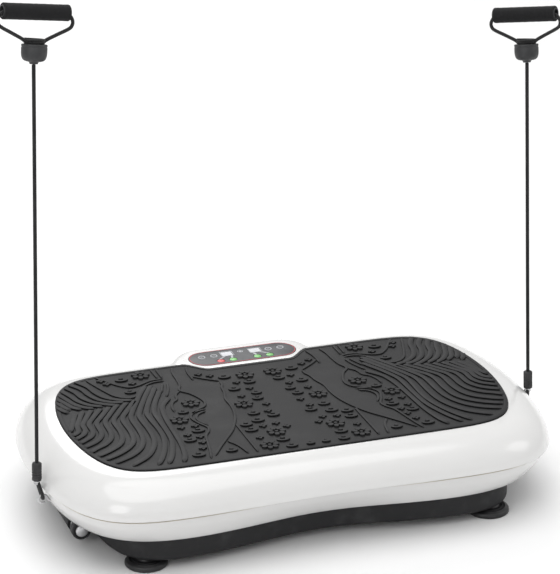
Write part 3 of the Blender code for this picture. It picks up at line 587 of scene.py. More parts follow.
outer = smoothed(UPPER_RINGS, RING_STEPS)
rings = [oval(*row[:5], row[5]) for row in outer]
bed_edge = oval(MAT_A + BED_GAP, MAT_B + BED_GAP, MAT_ENDS, MAT_SIDES, 0, SHELL_TOP,
                lambda x: notch(x, BED_GAP))
rings += [[p.lerp(q, k / BED_STEPS) for p, q in zip(rings[-1], bed_edge)] for k in range(1, BED_STEPS + 1)]
rings = [[on_hill(p) for p in ring] for ring in rings]
rings.append([Vector((p.x, p.y, BED_Z)) for p in bed_edge])
ceiling = inner(outer[::4], SHELL_WALL)
rim_a, rim_b, rim_end, rim_side, rim_waist, rim_z = UPPER_RINGS[0]
inside = [oval(*row[:5], row[5]) for row in reversed(ceiling[1:])]
inside.append(oval(rim_a - SHELL_WALL, rim_b - SHELL_WALL, rim_end, rim_side, rim_waist, rim_z))
pocket = lofted([stadium(PANEL_HALF + POCKET_GAP, PANEL_R + POCKET_GAP, PANEL_Y, z)
                 for z in (0.1217, 0.1400)])
console_hollow = lofted([stadium(CONSOLE_HALF, CONSOLE_R, HILL_Y, z) for z in (0.0700, 0.1190)])
upper = carved("upper", lofted(inside + rings), pocket, console_hollow)
place("shell_upper", upper, gloss_white, "deck", "white_shell", "upper_shell")

# ---------------------------------------------------------------------------
# Lower shell: the same gloss white moulding, 2.5 mm thick, screwed up into the
# upper one from below. A thin beige seal shows in the joint between the two.
# ---------------------------------------------------------------------------
LOWER_RINGS = [(0.3294, 0.1961, 7.9, 2.26, 0.047, 0.0757), (0.3262, 0.1930, 7.5, 2.27, 0.070, 0.0640),
               (0.3190, 0.1872, 6.9, 2.29, 0.095, 0.0510), (0.3135, 0.1830, 6.6, 2.30, 0.110, 0.0435),
               (0.3112, 0.1810, 6.5, 2.30, 0.115, 0.0410)]
SKIRT_WALL, HEM_ROLL = 0.0025, 0.0007

seal = Finish("beige_seal", Roughness=0.6)
seal.feed("Base Color", seal.tint(seal.grain(80, 4), (0.50, 0.45, 0.36), (0.60, 0.55, 0.46)))
seal.feed("Roughness", 0.5 + seal.grain(300) * 0.25)

skirt_outer = smoothed(LOWER_RINGS, RING_STEPS)
skirt_inner = [Vector((row[0] - SKIRT_WALL, row[1] - SKIRT_WALL, *row[2:])) for row in skirt_outer]
skirt_outer[-1][5] += HEM_ROLL * 0.6
hem = skirt_outer[-1].copy()
hem[0], hem[1], hem[5] = hem[0] - HEM_ROLL, hem[1] - HEM_ROLL, LOWER_RINGS[-1][5]
skirt_rows = [oval(*row[:5], row[5]) for row in skirt_outer + [hem] + skirt_inner[::-1][::3]]
holes = []
for sign, y, eye_x in (row[:3] for row in BANDS.values()):
    inward = shank_way(sign)
    middle = Vector((eye_x, y, EYE_Z)) + inward * 0.0190
    ends = [middle - inward * 0.02, middle + inward * 0.02]
    holes.append(swept(ends, WIRE_R + 0.0003, 24))
lower = carved("lower", lofted(skirt_rows, True), *holes)
place("shell_lower", lower, gloss_white, "deck", "white_shell", "lower_shell")

seal_rings = [(0.0004, 0.0755), (0.0004, 0.0762), (0.0030, 0.0762), (0.0030, 0.0755)]
seal_mesh = lofted([oval(rim_a - inset, rim_b - inset, rim_end, rim_side, rim_waist, z)
                    for inset, z in seal_rings], True)
place("shell_seal", seal_mesh, seal, "deck", "white_shell")

# ---------------------------------------------------------------------------
# Tread mat: black rubber, compression moulded with a relief of flowers,
# crescents and ribs, and bonded into its bed in the upper shell.
# ---------------------------------------------------------------------------
MAT_TOP, MAT_FLOOR, MAT_RIM = 0.1245, 0.1238, 0.0048
OUTLINE_POINTS = 256
MM = 0.001
BROAD_SHIFT = 2.5
# Ribs: width, height and the share of the length over which the ends sink away
BROAD_RIB, FINE_RIB, CRESCENT_RIB = (0.0072, 0.0019, 0.03), (0.0034, 0.0016, 0.03), (0.0046, 0.0021, 0.25)
# Flowers and buds: petals, size across, length and width of a petal, height
FLOWER, BUD = (7, 0.0255, 0.0092, 0.0076, 0.0023), (4, 0.0112, 0.0054, 0.0048, 0.0020)
# Broad ribs on the right half, in millimetres, each from its upper end to its lower end
BROAD_RIBS = [
    [(130, 52), (138, 42), (147, 28), (152, 8), (155, -20), (157, -60), (159, -90), (164, -120), (171, -139)],
    [(135, 80), (141, 66), (150, 48), (158, 28), (163, 8), (164, -35), (166, -70), (172, -95),
     (180, -118), (190, -138)],
    [(137, 92), (148, 70), (158, 50), (168, 26), (173, 6), (172, -40), (174, -65), (181, -92),
     (192, -118), (203, -137)],
    [(140, 99), (155, 72), (167, 48), (178, 24), (184, 4), (184, -40), (187, -68), (196, -92),
     (210, -112), (234, -130)],
    [(148, 99), (163, 74), (175, 50), (188, 24), (195, 4), (196, -35), (199, -60), (209, -84),
     (226, -102), (252, -116)],
    [(172, 60), (182, 46), (195, 26), (206, 5), (207, -35), (211, -60), (222, -78), (240, -93), (260, -103)],
    [(184, 56), (194, 44), (207, 24), (218, 4), (219, -30), (223, -52), (232, -68), (250, -82), (267, -91)],
    [(197, 54), (206, 42), (219, 22), (229, 4), (231, -28), (236, -46), (247, -60), (261, -69), (272, -78)],
    [(210, 50), (218, 38), (230, 20), (240, 4), (242, -25), (248, -40), (258, -51), (275, -61)],
    [(222, 48), (230, 36), (241, 20), (250, 4), (251, -18), (257, -32), (266, -40), (277, -48)],
    [(234, 47), (241, 36), (251, 18), (258, 4), (259, -12), (264, -23), (272, -30), (279, -35)],
    [(246, 46), (252, 34), (260, 16), (265, 4), (268, -12), (273, -19), (280, -23)],
    [(256, 43), (262, 30), (268, 14), (272, 4), (276, -6), (280, -10)],
    [(232, 141), (220, 117), (216, 97), (208, 77), (192, 63), (176, 58)],
    [(242, 134), (230, 113), (226, 93), (218, 73), (204, 60), (188, 55)],
    [(249, 126), (240, 105), (236, 85), (226, 67), (210, 54), (200, 50)],
    [(256, 116), (249, 95), (244, 77), (234, 61), (218, 50)],
    [(262, 105), (256, 85), (251, 69), (242, 56), (230, 48)],
    [(267, 92), (261, 75), (256, 61), (246, 50)],
    [(270, 80), (266, 65), (260, 52)],
    [(274, 67), (270, 55), (264, 45)]]
# Fine ribs on the right half
FINE_RIBS = [
    [(83, 142), (87, 120), (87, 95)], [(87, 109), (75, 97), (65, 89), (56, 82)],
    [(56, 82), (57, 69), (60, 61), (62, 45), (67, 25), (67, 5), (69, -15), (74, -35), (81, -53), (90, -71),
     (104, -91), (118, -111), (133, -134)],
    [(79, -53), (79, -100), (79, -140)], [(105, -97), (96, -115), (91, -140)],
    [(102, 144), (106, 125), (107, 105), (109, 85), (114, 69), (104, 55), (97, 37), (95, 23), (100, 11),
     (112, 3), (126, -11)],
    [(114, 69), (123, 57), (126, 43), (134, 35), (139, 21), (140, 7)],
    [(102, -3), (114, -9), (120, -21), (118, -35), (112, -45)],
    [(100, 3), (118, -3), (126, -17), (122, -35), (115, -51), (118, -63), (125, -75), (130, -99), (134, -119),
     (139, -139)],
    [(123, 146), (123, 113)], [(130, 146), (129, 115)],
    [(123, 111), (140, 111), (160, 101), (172, 99), (180, 105), (188, 115), (196, 129), (206, 144)],
    [(123, 105), (138, 105), (152, 97), (164, 79), (176, 67), (188, 69), (198, 79), (204, 93), (212, 117),
     (219, 141)],
    [(122, 98), (126, 80), (132, 64), (136, 56)], [(128, 98), (133, 84), (138, 70)]]
# Flowers and buds on the right half: X and Y. Crescents: X, Y and how far across
FLOWERS = [(19, 90), (50, 2), (39, -91), (60, -126), (113, 26), (142, -19), (148, 131)]
CRESCENTS = [(46, 94, 18), (20, 69, 17), (46, 53, 17), (23, 33, 15), (27, 16, 16), (47, -27, 17),
             (25, -39, 17),
             (49, -49, 18), (67, -57, 17), (66, -74, 18), (38, -113, 18), (150, -123, 18), (147, -79, 17),
             (129, -55, 18), (108, -123, 16), (175, 127, 18), (175, 86, 16), (130, 4, 15), (10, -135, 12),
             (34, -134, 16)]
BUDS = [(76, 111), (63, 102), (37, 71), (27, 48), (45, 27), (23, -6), (28, -27), (129, -42), (147, -42),
        (31, -66),
        (49, -69), (21, -79), (146, -65), (133, -75), (135, -91), (140, -108), (64, -101), (165, 110),
        (197, 118),
        (202, 130)]


class Pattern(Graph):
    """A Geometry Nodes tree with named sizes, run once on a mesh."""

    def __init__(self, name, **sizes):
        super().__init__(bpy.data.node_groups.new(name, "GeometryNodeTree"))
        self.sizes = {label.replace("_", " "): value for label, value in sizes.items()}
        self.tree.interface.new_socket("Geometry", in_out="INPUT", socket_type="NodeSocketGeometry")
        self.tree.interface.new_socket("Geometry", in_out="OUTPUT", socket_type="NodeSocketGeometry")
        for label, value in self.sizes.items():
            kind = "NodeSocketInt" if isinstance(value, int) else "NodeSocketFloat"
            self.tree.interface.new_socket(label, in_out="INPUT", socket_type=kind)
        self.inputs = self.tree.nodes.new("NodeGroupInput")
        self.start = Wire(self, self.inputs.outputs["Geometry"])

    def given(self, label):
        return Wire(self, self.inputs.outputs[label])

    def vector(self, x=0.0, y=0.0, z=0.0):
        return self.add("ShaderNodeCombineXYZ", None, {"X": x, "Y": y, "Z": z})

    def run(self, mesh, made, finish):
        """Ends the tree with real faces in one finish, and gives what it makes of the mesh."""
        real = self.add("GeometryNodeRealizeInstances", None, {"Geometry": made})
        done = self.add("GeometryNodeSetMaterial", None, {"Geometry": real, "Material": finish.material})
        self.tree.links.new(done.socket, self.tree.nodes.new("NodeGroupOutput").inputs[0])
        holder = bpy.data.objects.new(self.tree.name, mesh)
        bpy.context.scene.collection.objects.link(holder)
        nodes = holder.modifiers.new("pattern", "NODES")
        nodes.node_group = self.tree
        for item in self.tree.interface.items_tree:
            if item.in_out == "INPUT" and item.name in self.sizes:
                nodes[item.identifier] = self.sizes[item.name]
        bpy.context.view_layer.update()
        result = bpy.data.meshes.new_from_object(holder.evaluated_get(bpy.context.evaluated_depsgraph_get()))
        bpy.data.objects.remove(holder)
        return result


def mirrored(lists):
    """The same points on both halves."""
    return lists + [[(-p[0], *p[1:]) for p in points] for points in lists]


def wires(lines):
    """A mesh of bare edges along the lines."""
    form = bmesh.new()
    for line in lines:
        verts = [form.verts.new(p) for p in line]
        for a, b in zip(verts, verts[1:]):
            form.edges.new((a, b))
    mesh = bpy.data.meshes.new("wires")
    form.to_mesh(mesh)
    form.free()
    return mesh


def on_mat(points):
    return [Vector((p[0] * MM, p[1] * MM, MAT_FLOOR)) for p in points]


def rib_pattern(name, width, height, taper):
    """Rounded ribs along wires, with ends that sink away over the taper's share of their length."""
    ribs = Pattern(name, Rib_width=width, Rib_height=height, Taper=taper)
    along = ribs.add("GeometryNodeSplineParameter")
    near_end = 0.5 - (along - 0.5).size()
    share = near_end / ribs.given("Taper")
    swell = share.math("MINIMUM", share, 1.0) ** 0.5
    line = ribs.add("GeometryNodeMeshToCurve", None, {"Mesh": ribs.start})
    line = ribs.add("GeometryNodeSetCurveNormal", {"mode": "Z_UP"}, {"Curve": line})
    section = ribs.add("GeometryNodeCurvePrimitiveQuadrilateral", {"mode": "TRAPEZOID"},
                       {"Height": ribs.given("Rib height") * 2, "Bottom Width": ribs.given("Rib width"),
                        "Top Width": ribs.given("Rib width") * 0.74, "Offset": 0.0})
    section = ribs.add("GeometryNodeFilletCurve", {"mode": "POLY"},
                       {"Curve": section, "Radius": ribs.given("Rib height") * 0.3, "Count": 2})
    return ribs, ribs.add("GeometryNodeCurveToMesh", None, {
        "Curve": line, "Profile Curve": section, "Scale": swell, "Fill Caps": True})


def ribs_on_mat(name, sizes, lines, step):
    """One piece of ribs along lines on both halves of the mat."""
    ribs, body = rib_pattern(name, *sizes)
    paths = wires([curve_through(on_mat(line), step) for line in mirrored(lines)])
    place("mat_" + name, ribs.run(paths, body, mat_rubber), None, "deck", "mat_rubber")


mat_rubber = Finish("mat_rubber", Roughness=0.5, Specular_IOR_Level=0.28)
height_over_floor = (mat_rubber.axis("Z") - MAT_FLOOR) / 0.0012
chalk = mat_rubber.grain(26, 5)
pits = mat_rubber.grain(1300, 3)
# Base colour: lighter on flat tops and darker on steep sides, which is painted shade from light above; a
# little lighter again on the higher ribs and in chalky patches
painted_light_on_flats = mat_rubber.axis("Z", mat_rubber.add("ShaderNodeNewGeometry", output="Normal")).step(0.55, 0.97)
slope_shade_and_chalk = painted_light_on_flats * (0.55 + height_over_floor.step(0.4, 1.0) * 0.15 + chalk.step(0.45, 0.8) * 0.3)
mat_rubber.feed("Base Color", mat_rubber.tint(slope_shade_and_chalk, (0.0012, 0.0012, 0.0015), (0.017, 0.017, 0.018)))
mat_rubber.feed("Roughness", 0.44 + chalk * 0.18 + pits * 0.1)
mat_rubber.relief(pits, 0.00010)


def mat_outline(inset, z):
    return oval(MAT_A - inset, MAT_B - inset, MAT_ENDS, MAT_SIDES, 0, z, lambda x: notch(x, -inset),
                OUTLINE_POINTS)


low_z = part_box("tread_mat")[0][2]
rows = ((0.0, low_z), (0.0, MAT_TOP - 0.0009), (0.0003, MAT_TOP - 0.0003), (0.0009, MAT_TOP),
        (MAT_RIM, MAT_TOP), (MAT_RIM + 0.0007, MAT_FLOOR))
slab = lofted([mat_outline(inset, z) for inset, z in rows])
place("mat", slab, mat_rubber, "deck", "mat_rubber", "tread_mat")
broad_lines = [[(x + BROAD_SHIFT, y) for x, y in line] for line in BROAD_RIBS]
ribs_on_mat("broad_ribs", BROAD_RIB, broad_lines, 0.0035)
ribs_on_mat("fine_ribs", FINE_RIB, FINE_RIBS, 0.0035)


def petal_pattern(name, petals, across, petal_long, petal_wide, height):
    """Flat-topped petals in a ring round a button, set on points."""
    made = Pattern(name, Petals=petals, Across=across, Petal_long=petal_long, Petal_wide=petal_wide,
                   Height=height)
    reach = (made.given("Across") - made.given("Petal long")) * 0.5
    ring = made.add("GeometryNodeCurvePrimitiveCircle", None, {
        "Resolution": made.given("Petals"), "Radius": reach})
    stump = made.add("GeometryNodeMeshCone", None, {
        "Vertices": 14, "Radius Top": 0.40, "Radius Bottom": 0.5, "Depth": 1.0})
    size = made.vector(made.given("Petal wide"), made.given("Petal long"), made.given("Height"))
    petal = made.add("GeometryNodeTransform", None, {"Geometry": stump, "Scale": size})
    tangent = made.add("GeometryNodeInputTangent")
    facing = made.add("FunctionNodeAlignRotationToVector", {"axis": "X"}, {"Vector": tangent})
    round_button = made.add("GeometryNodeInstanceOnPoints", None, {
        "Points": ring, "Instance": petal, "Rotation": facing})
    button_across = (reach - made.given("Petal long") * 0.5) * 1.5
    button = made.add("GeometryNodeTransform", None, {
        "Geometry": stump, "Scale": made.vector(button_across, button_across, made.given("Height") * 0.9)})
    flower = made.add("GeometryNodeJoinGeometry", None, {"Geometry": round_button})
    made.tree.links.new(button.socket, flower.socket.node.inputs["Geometry"])
    return made, made.add("GeometryNodeInstanceOnPoints", None, {"Points": made.start, "Instance": flower})


def spots(points):
    """A mesh of bare points on the mat's floor, on both halves."""
    mesh = bpy.data.meshes.new("spots")
    mesh.from_pydata(on_mat([point for (point,) in mirrored([[p] for p in points])]), [], [])
    return mesh


for name, sizes, points in (("flowers", FLOWER, FLOWERS), ("buds", BUD, BUDS)):
    petals, body = petal_pattern(name, *sizes)
    place("mat_" + name, petals.run(spots(points), body, mat_rubber), None, "deck", "mat_rubber")


def cup_line(x, y, across, bow):
    """A crescent that opens upwards, like a petal seen from the side."""
    radius = across / 2 - 1.6
    return [(x + radius * math.sin(t), y - radius * bow * math.cos(t)) for t in
            (math.radians(v) for v in range(-110, 111, 20))]


crescents = [cup_line(x, y, across, 0.75) for x, y, across in CRESCENTS]
crescents += [[(x - across * 0.20, y + across * 0.16), (x, y + across * 0.10),
               (x + across * 0.20, y + across * 0.16)] for x, y, across in CRESCENTS]
ribs_on_mat("crescents", CRESCENT_RIB, crescents, 0.0018)

# ---------------------------------------------------------------------------
# Control panel: a dark grey moulded face in the console's pocket, with a thin
# red line printed round it, eight membrane keys and two small windows.
# ---------------------------------------------------------------------------
PANEL_TOP, PANEL_LOW, KEY_R, KEY_TOP, KEY_LOW = 0.1250, 0.1220, 0.0051, 0.1254, 0.1224
RING_KEYS = {"key_power": (-0.0545, 0.162), "key_mode": (-0.0378, 0.162),
             "key_start": (0.0378, 0.162), "key_stop": (0.0545, 0.162)}
ROUND_KEYS = {"key_time_down": (-0.0337, 0.1436, "red"), "key_time_up": (-0.0168, 0.1436, "green"),
              "key_speed_down": (0.0168, 0.1436, "green"), "key_speed_up": (0.0337, 0.1436, "green")}
DISPLAYS = {"display_time": (-0.0194, 0.164), "display_speed": (0.0196, 0.164)}
KEYS_BELOW = {"display_time": (-0.0337, -0.0168), "display_speed": (0.0168, 0.0337)}
WINDOW_HALF_X, WINDOW_HALF_Y, WINDOW_GAP, KEY_GAP = 0.0073, 0.0062, 0.0003, 0.0004
CUT_LOW, CUT_HIGH = 0.115, 0.13
SENSOR_Y, BEAM_NEAR = 0.166, 0.1488
MARK_LOW, MARK_HIGH = PANEL_TOP - 0.0001, PANEL_TOP + 0.00006


def plastic(name, dark, light, roughness, **constants):
    """A moulded plastic between two close shades, with a fine matt texture."""
    made = Finish(name, Roughness=roughness, **constants)
    shade = made.grain(70, 4)
    texture = made.grain(1300, 2)
    made.feed("Base Color", made.tint(shade.step(0.3, 0.75), dark, light))
    made.feed("Roughness", roughness - 0.06 + texture * 0.14)
    made.relief(texture, 0.00004)
    return made


panel_grey = plastic("panel_grey", (0.040, 0.042, 0.046), (0.060, 0.062, 0.067), 0.4)
key_grey = plastic("key_grey", (0.36, 0.37, 0.39), (0.44, 0.45, 0.47), 0.42)
print_red = plastic("print_red", (0.42, 0.030, 0.035), (0.50, 0.045, 0.050), 0.5)
print_grey = plastic("print_grey", (0.42, 0.43, 0.45), (0.50, 0.51, 0.53), 0.5)
key_red = plastic("key_red", (0.55, 0.035, 0.045), (0.66, 0.055, 0.065), 0.32, Coat_Weight=0.3)
key_green = plastic("key_green", (0.12, 0.42, 0.085), (0.17, 0.52, 0.12), 0.32, Coat_Weight=0.3)
window = Finish("display_window", Roughness=0.16, Coat_Weight=0.6)
rows = (window.axis("Y") * 2600).sine().step(0.2, 0.9)
window.feed("Base Color", window.tint(rows, (0.66, 0.67, 0.70), (0.58, 0.59, 0.62)))
window.feed("Roughness", 0.12 + window.grain(200) * 0.12)


def capsule(half, radius, inset, z):
    return stadium(half - inset, radius - inset, PANEL_Y, z)


def drill(x, y, radius, low, high, count):
    """The round cutter that makes an upright hole."""
    profile = [(0, high), (radius, high), (radius, low), (0, low)]
    return turned(profile, count, Matrix.Translation((x, y, 0)))


def bar(x, y, half_x, half_y):
    """The corners of a rectangle round a point."""
    return [Vector((x + sx * half_x, y + sy * half_y, 0)) for sx, sy in ((-1, -1), (1, -1), (1, 1), (-1, 1))]


def circle(x, y, radius, count=32):
    turns = [math.tau * k / count for k in range(count)]
    return [Vector((x + radius * math.cos(t), y + radius * math.sin(t), 0)) for t in turns]


def stacked(outlines, ends_meet=False):
    """A mesh through flat outlines, each one lifted to its height."""
    return lofted([[Vector((p.x, p.y, z)) for p in outline] for outline, z in outlines], ends_meet)


def flat_mark(name, outside, inside, finish):
    """A printed line between two rings of points on the panel's face."""
    rows = ((outside, MARK_LOW), (outside, MARK_HIGH), (inside, MARK_HIGH), (inside, MARK_LOW))
    place(name, stacked(rows, True), finish, "deck", "panel_plastic")


def solid_mark(name, outline, finish, body="deck", low=MARK_LOW, high=MARK_HIGH):
    """A printed spot that fills an outline, on the panel's face or on a key."""
    place(name, stacked(((outline, low), (outline, high))), finish, body, "panel_plastic")


rows = ((0, PANEL_LOW), (0, PANEL_TOP - 0.0006), (0.0002, PANEL_TOP - 0.0002), (0.0007, PANEL_TOP))
face = lofted([capsule(PANEL_HALF, PANEL_R, inset, z) for inset, z in rows])
key_places = list(RING_KEYS.values()) + [row[:2] for row in ROUND_KEYS.values()]
openings = [drill(x, y, KEY_R + KEY_GAP, CUT_LOW, CUT_HIGH, 40) for x, y in key_places]
for x, y in DISPLAYS.values():
    outline = bar(x, y, WINDOW_HALF_X + WINDOW_GAP, WINDOW_HALF_Y + WINDOW_GAP)
    openings.append(stacked(((outline, CUT_LOW), (outline, CUT_HIGH))))
place("panel", carved("panel", face, *openings), panel_grey, "deck", "panel_plastic", "panel_face")

red_line = [capsule(PANEL_HALF, PANEL_R, inset, 0) for inset in (0.0009, 0.0019)]
flat_mark("panel_red_line", *red_line, print_red)
flat_mark("panel_sensor_ring", circle(0, SENSOR_Y, 0.0038), circle(0, SENSOR_Y, 0.0031), print_grey)
solid_mark("panel_sensor", circle(0, SENSOR_Y, 0.0018), print_grey)
for name, (x, y) in DISPLAYS.items():
    low, high = PANEL_LOW + 0.0002, PANEL_TOP - 0.0001
    glass = stacked([(bar(x, y, WINDOW_HALF_X - inset, WINDOW_HALF_Y - inset), z)
                     for inset, z in ((0, low), (0, high - 0.0002), (0.0002, high))])
    place(name + "_glass", glass, window, "deck", "display", name)
    flat_mark(name + "_frame", bar(x, y, WINDOW_HALF_X + 0.0012, WINDOW_HALF_Y + 0.0012),
              bar(x, y, WINDOW_HALF_X + 0.0005, WINDOW_HALF_Y + 0.0005), print_grey)
    for side, key_x in zip((-1, 1), KEYS_BELOW[name]):
        far, top_x = y - 0.0078, x + side * 0.0048
        beam = [Vector((key_x - 0.0016, BEAM_NEAR, 0)), Vector((key_x + 0.0016, BEAM_NEAR, 0)),
                Vector((top_x + 0.0014, far, 0)), Vector((top_x - 0.0014, far, 0))]
        solid_mark(f"{name}_beam_{side}", beam, print_grey)
RING_CAP = [(0, KEY_TOP - 0.0002), (KEY_R - 0.0016, KEY_TOP - 0.0002), (KEY_R - 0.0012, KEY_TOP),
            (KEY_R - 0.0004, KEY_TOP), (KEY_R, KEY_TOP - 0.0004), (KEY_R, KEY_LOW), (0, KEY_LOW)]
ROUND_CAP = [(0, KEY_TOP), (KEY_R * 0.5, KEY_TOP - 0.00004), (KEY_R - 0.0008, KEY_TOP - 0.0002),
             (KEY_R - 0.0002, KEY_TOP - 0.0005), (KEY_R, KEY_TOP - 0.0009), (KEY_R, KEY_LOW), (0, KEY_LOW)]
for name, (x, y) in RING_KEYS.items():
    cap = turned(RING_CAP, 40, Matrix.Translation((x, y, 0)))
    place(name + "_cap", cap, key_grey, name, "panel_plastic", name)
    solid_mark(name + "_centre", circle(x, y, KEY_R - 0.0018), panel_grey, name,
               KEY_TOP - 0.0003, KEY_TOP - 0.00012)
    solid_mark(name + "_dash", bar(x, y, 0.0016, 0.0004), print_grey, name,
               KEY_TOP - 0.0002, KEY_TOP - 0.00006)
for name, (x, y, colour) in ROUND_KEYS.items():
    cap = turned(ROUND_CAP, 40, Matrix.Translation((x, y, 0)))
    place(name + "_cap", cap, key_red if colour == "red" else key_green, name, f"{colour}_key", name)

# ---------------------------------------------------------------------------
# Base tray: matt black ABS with a sparked texture, drawn in at the middle like
# the shell. Four suction feet plug into it, and it carries the drive.
# ---------------------------------------------------------------------------
TRAY_A, TRAY_B, TRAY_LOW, TRAY_TOP = 0.2700, 0.1765, 0.0115, 0.0480
TRAY_WALL, TRAY_FLOOR, SPIGOT_GAP = 0.0030, 0.0145, 0.0003
TRAY_SHAPE = (9.0, 3.6, 0.147)
FOOT_X, FOOT_Y, FOOT_R, SPIGOT_R = 0.2255, 0.1463, 0.0265, 0.0050
INLET_X, INLET_HALF, SWITCH_X, SWITCH_HALF = 0.1870, 0.0120, 0.1595, 0.0095
PORT_LOW, PORT_HIGH, PORT_FRONT, PORT_BACK = 0.0170, 0.0320, 0.150, 0.180

tray_black = Finish("sparked_black_plastic", Roughness=0.6, Specular_IOR_Level=0.3)
spark = tray_black.grain(1000, 4)
scuff = tray_black.grain(35, 5).step(0.5, 0.8)
tray_black.feed("Base Color", tray_black.tint(scuff * 0.6 + spark * 0.2,
                                              (0.012, 0.012, 0.013), (0.042, 0.042, 0.044)))
tray_black.feed("Roughness", 0.5 + spark * 0.2 - scuff * 0.06)
tray_black.relief(spark, 0.00022)


def tray_ring(inset, z):
    return oval(TRAY_A - inset, TRAY_B - inset, *TRAY_SHAPE, z, None, OUTLINE_POINTS)


# From the inside of the floor, up over the wall's rounded top and down to the underside
rows = ((TRAY_WALL, TRAY_FLOOR), (TRAY_WALL, TRAY_TOP - 0.0004), (TRAY_WALL - 0.0004, TRAY_TOP),
        (0.0004, TRAY_TOP), (0, TRAY_TOP - 0.0004), (0, 0.0170), (0.0002, 0.0152),
        (0.0009, 0.0135), (0.0021, 0.0122), (0.0038, TRAY_LOW))
tray = lofted([tray_ring(inset, z) for inset, z in rows])
spigots = [drill(sx * FOOT_X, sy * FOOT_Y, SPIGOT_R + SPIGOT_GAP, 0.005, 0.03, 32)
           for sx in (-1, 1) for sy in (-1, 1)]


def ports():
    """The openings for the mains inlet and the switch, through the boss and the tray's wall."""
    made = []
    for x, half in ((INLET_X, INLET_HALF), (SWITCH_X, SWITCH_HALF)):
        sides = ((x - half, PORT_LOW), (x + half, PORT_LOW), (x + half, PORT_HIGH), (x - half, PORT_HIGH))
        made.append(lofted([[Vector((px, y, pz)) for px, pz in sides] for y in (PORT_FRONT, PORT_BACK)]))
    return made


place("tray", carved("tray", tray, *spigots, *ports()), tray_black, "base", "black_plastic", "base_tray")

foot_rubber = Finish("foot_rubber", Roughness=0.45, Specular_IOR_Level=0.55)
bloom = foot_rubber.grain(55, 4)
foot_rubber.feed("Base Color", foot_rubber.tint(bloom.step(0.35, 0.8),
                                                (0.008, 0.008, 0.009), (0.030, 0.030, 0.032)))
foot_rubber.feed("Roughness", 0.34 + bloom * 0.24)
foot_rubber.relief(foot_rubber.grain(900, 2), 0.00006)
FOOT_PROFILE = [(0, 0.0200), (SPIGOT_R - 0.0008, 0.0200), (SPIGOT_R, 0.0192), (SPIGOT_R, 0.0112),
                (0.0110, 0.0112), (0.0116, 0.0109), (0.0125, 0.0092), (0.0135, 0.0083), (0.0150, 0.0080),
                (0.0166, 0.0080), (0.0170, 0.0084), (0.0178, 0.0084), (0.0182, 0.0080), (0.0205, 0.0079),
                (0.0209, 0.0082), (0.0216, 0.0082), (0.0221, 0.0077), (0.0240, 0.0070), (0.0254, 0.0060),
                (0.0262, 0.0047), (FOOT_R, 0.0030), (0.0263, 0.0012), (0.0252, 0.0), (0.0206, 0.0),
                (0.0200, 0.0002), (0.0150, 0.0016), (0.0080, 0.0024), (0, 0.0026)]
for sx, left_right in ((-1, "left"), (1, "right")):
    for sy, front_back in ((-1, "front"), (1, "back")):
        corner = f"{front_back}_{left_right}"
        foot = turned(FOOT_PROFILE, 64, Matrix.Translation((sx * FOOT_X, sy * FOOT_Y, 0)))
        place(f"suction_{corner}", foot, foot_rubber, "base", "rubber", f"foot_{corner}")

# ---------------------------------------------------------------------------
# Transport wheels: two hard black wheels on one steel axle, in a moulded
# carrier at the left end of the tray. The axle's ends are domed and bright.
# ---------------------------------------------------------------------------
WHEEL_X, WHEEL_Z, WHEEL_R, AXLE_R = -0.2875, 0.0235, 0.0125, 0.0035
WHEEL_IN, WHEEL_OUT, CARRIER_HALF = 0.0690, 0.0800, 0.0580
along_y = Matrix.Translation((WHEEL_X, 0, WHEEL_Z)) @ Matrix.Rotation(math.radians(-90), 4, "X")
wheel_black = plastic("wheel_black", (0.010, 0.010, 0.011), (0.024, 0.024, 0.026), 0.45)
half = (WHEEL_OUT - WHEEL_IN) / 2
# One face: bore, sunk ring, rounded edge of the tread, and half of the groove in its middle
rim = [(AXLE_R + 0.0001, -half), (0.0072, -half), (0.0078, -half + 0.0008), (0.0096, -half + 0.0008),
       (0.0102, -half), (WHEEL_R - 0.0010, -half), (WHEEL_R - 0.0002, -half + 0.0004),
       (WHEEL_R, -half + 0.0012), (WHEEL_R, -0.0012), (WHEEL_R - 0.0005, -0.0009)]
wheel_profile = rim + [(r, -z) for r, z in reversed(rim)]
for name, side in (("wheel_front", -1), ("wheel_back", 1)):
    middle = Matrix.Translation((0, 0, side * (WHEEL_IN + WHEEL_OUT) / 2))
    wheel = turned(wheel_profile, 56, along_y @ middle, True)
    place(name + "_tyre", wheel, wheel_black, name, "black_plastic", name)
half_axle = [(AXLE_R, CARRIER_HALF + 0.0002), (0.0080, CARRIER_HALF + 0.0003),
             (0.0085, CARRIER_HALF + 0.0007), (0.0085, 0.0596), (0.0080, 0.0600), (AXLE_R, 0.0601),
             (AXLE_R, WHEEL_OUT + 0.0003), (0.0076, WHEEL_OUT + 0.0003), (0.0080, 0.0806),
             (0.0078, 0.0817), (0.0068, 0.0828), (0.0040, 0.0835), (0, 0.0838)]
axle = turned([(r, -z) for r, z in reversed(half_axle)] + half_axle, 40, along_y)
place("axle", axle, bright_metal, "base", "zinc_steel", "wheel_axle")
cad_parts["wheel_carrier"].data.materials.clear()
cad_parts["wheel_carrier"].data.materials.append(tray_black.material)

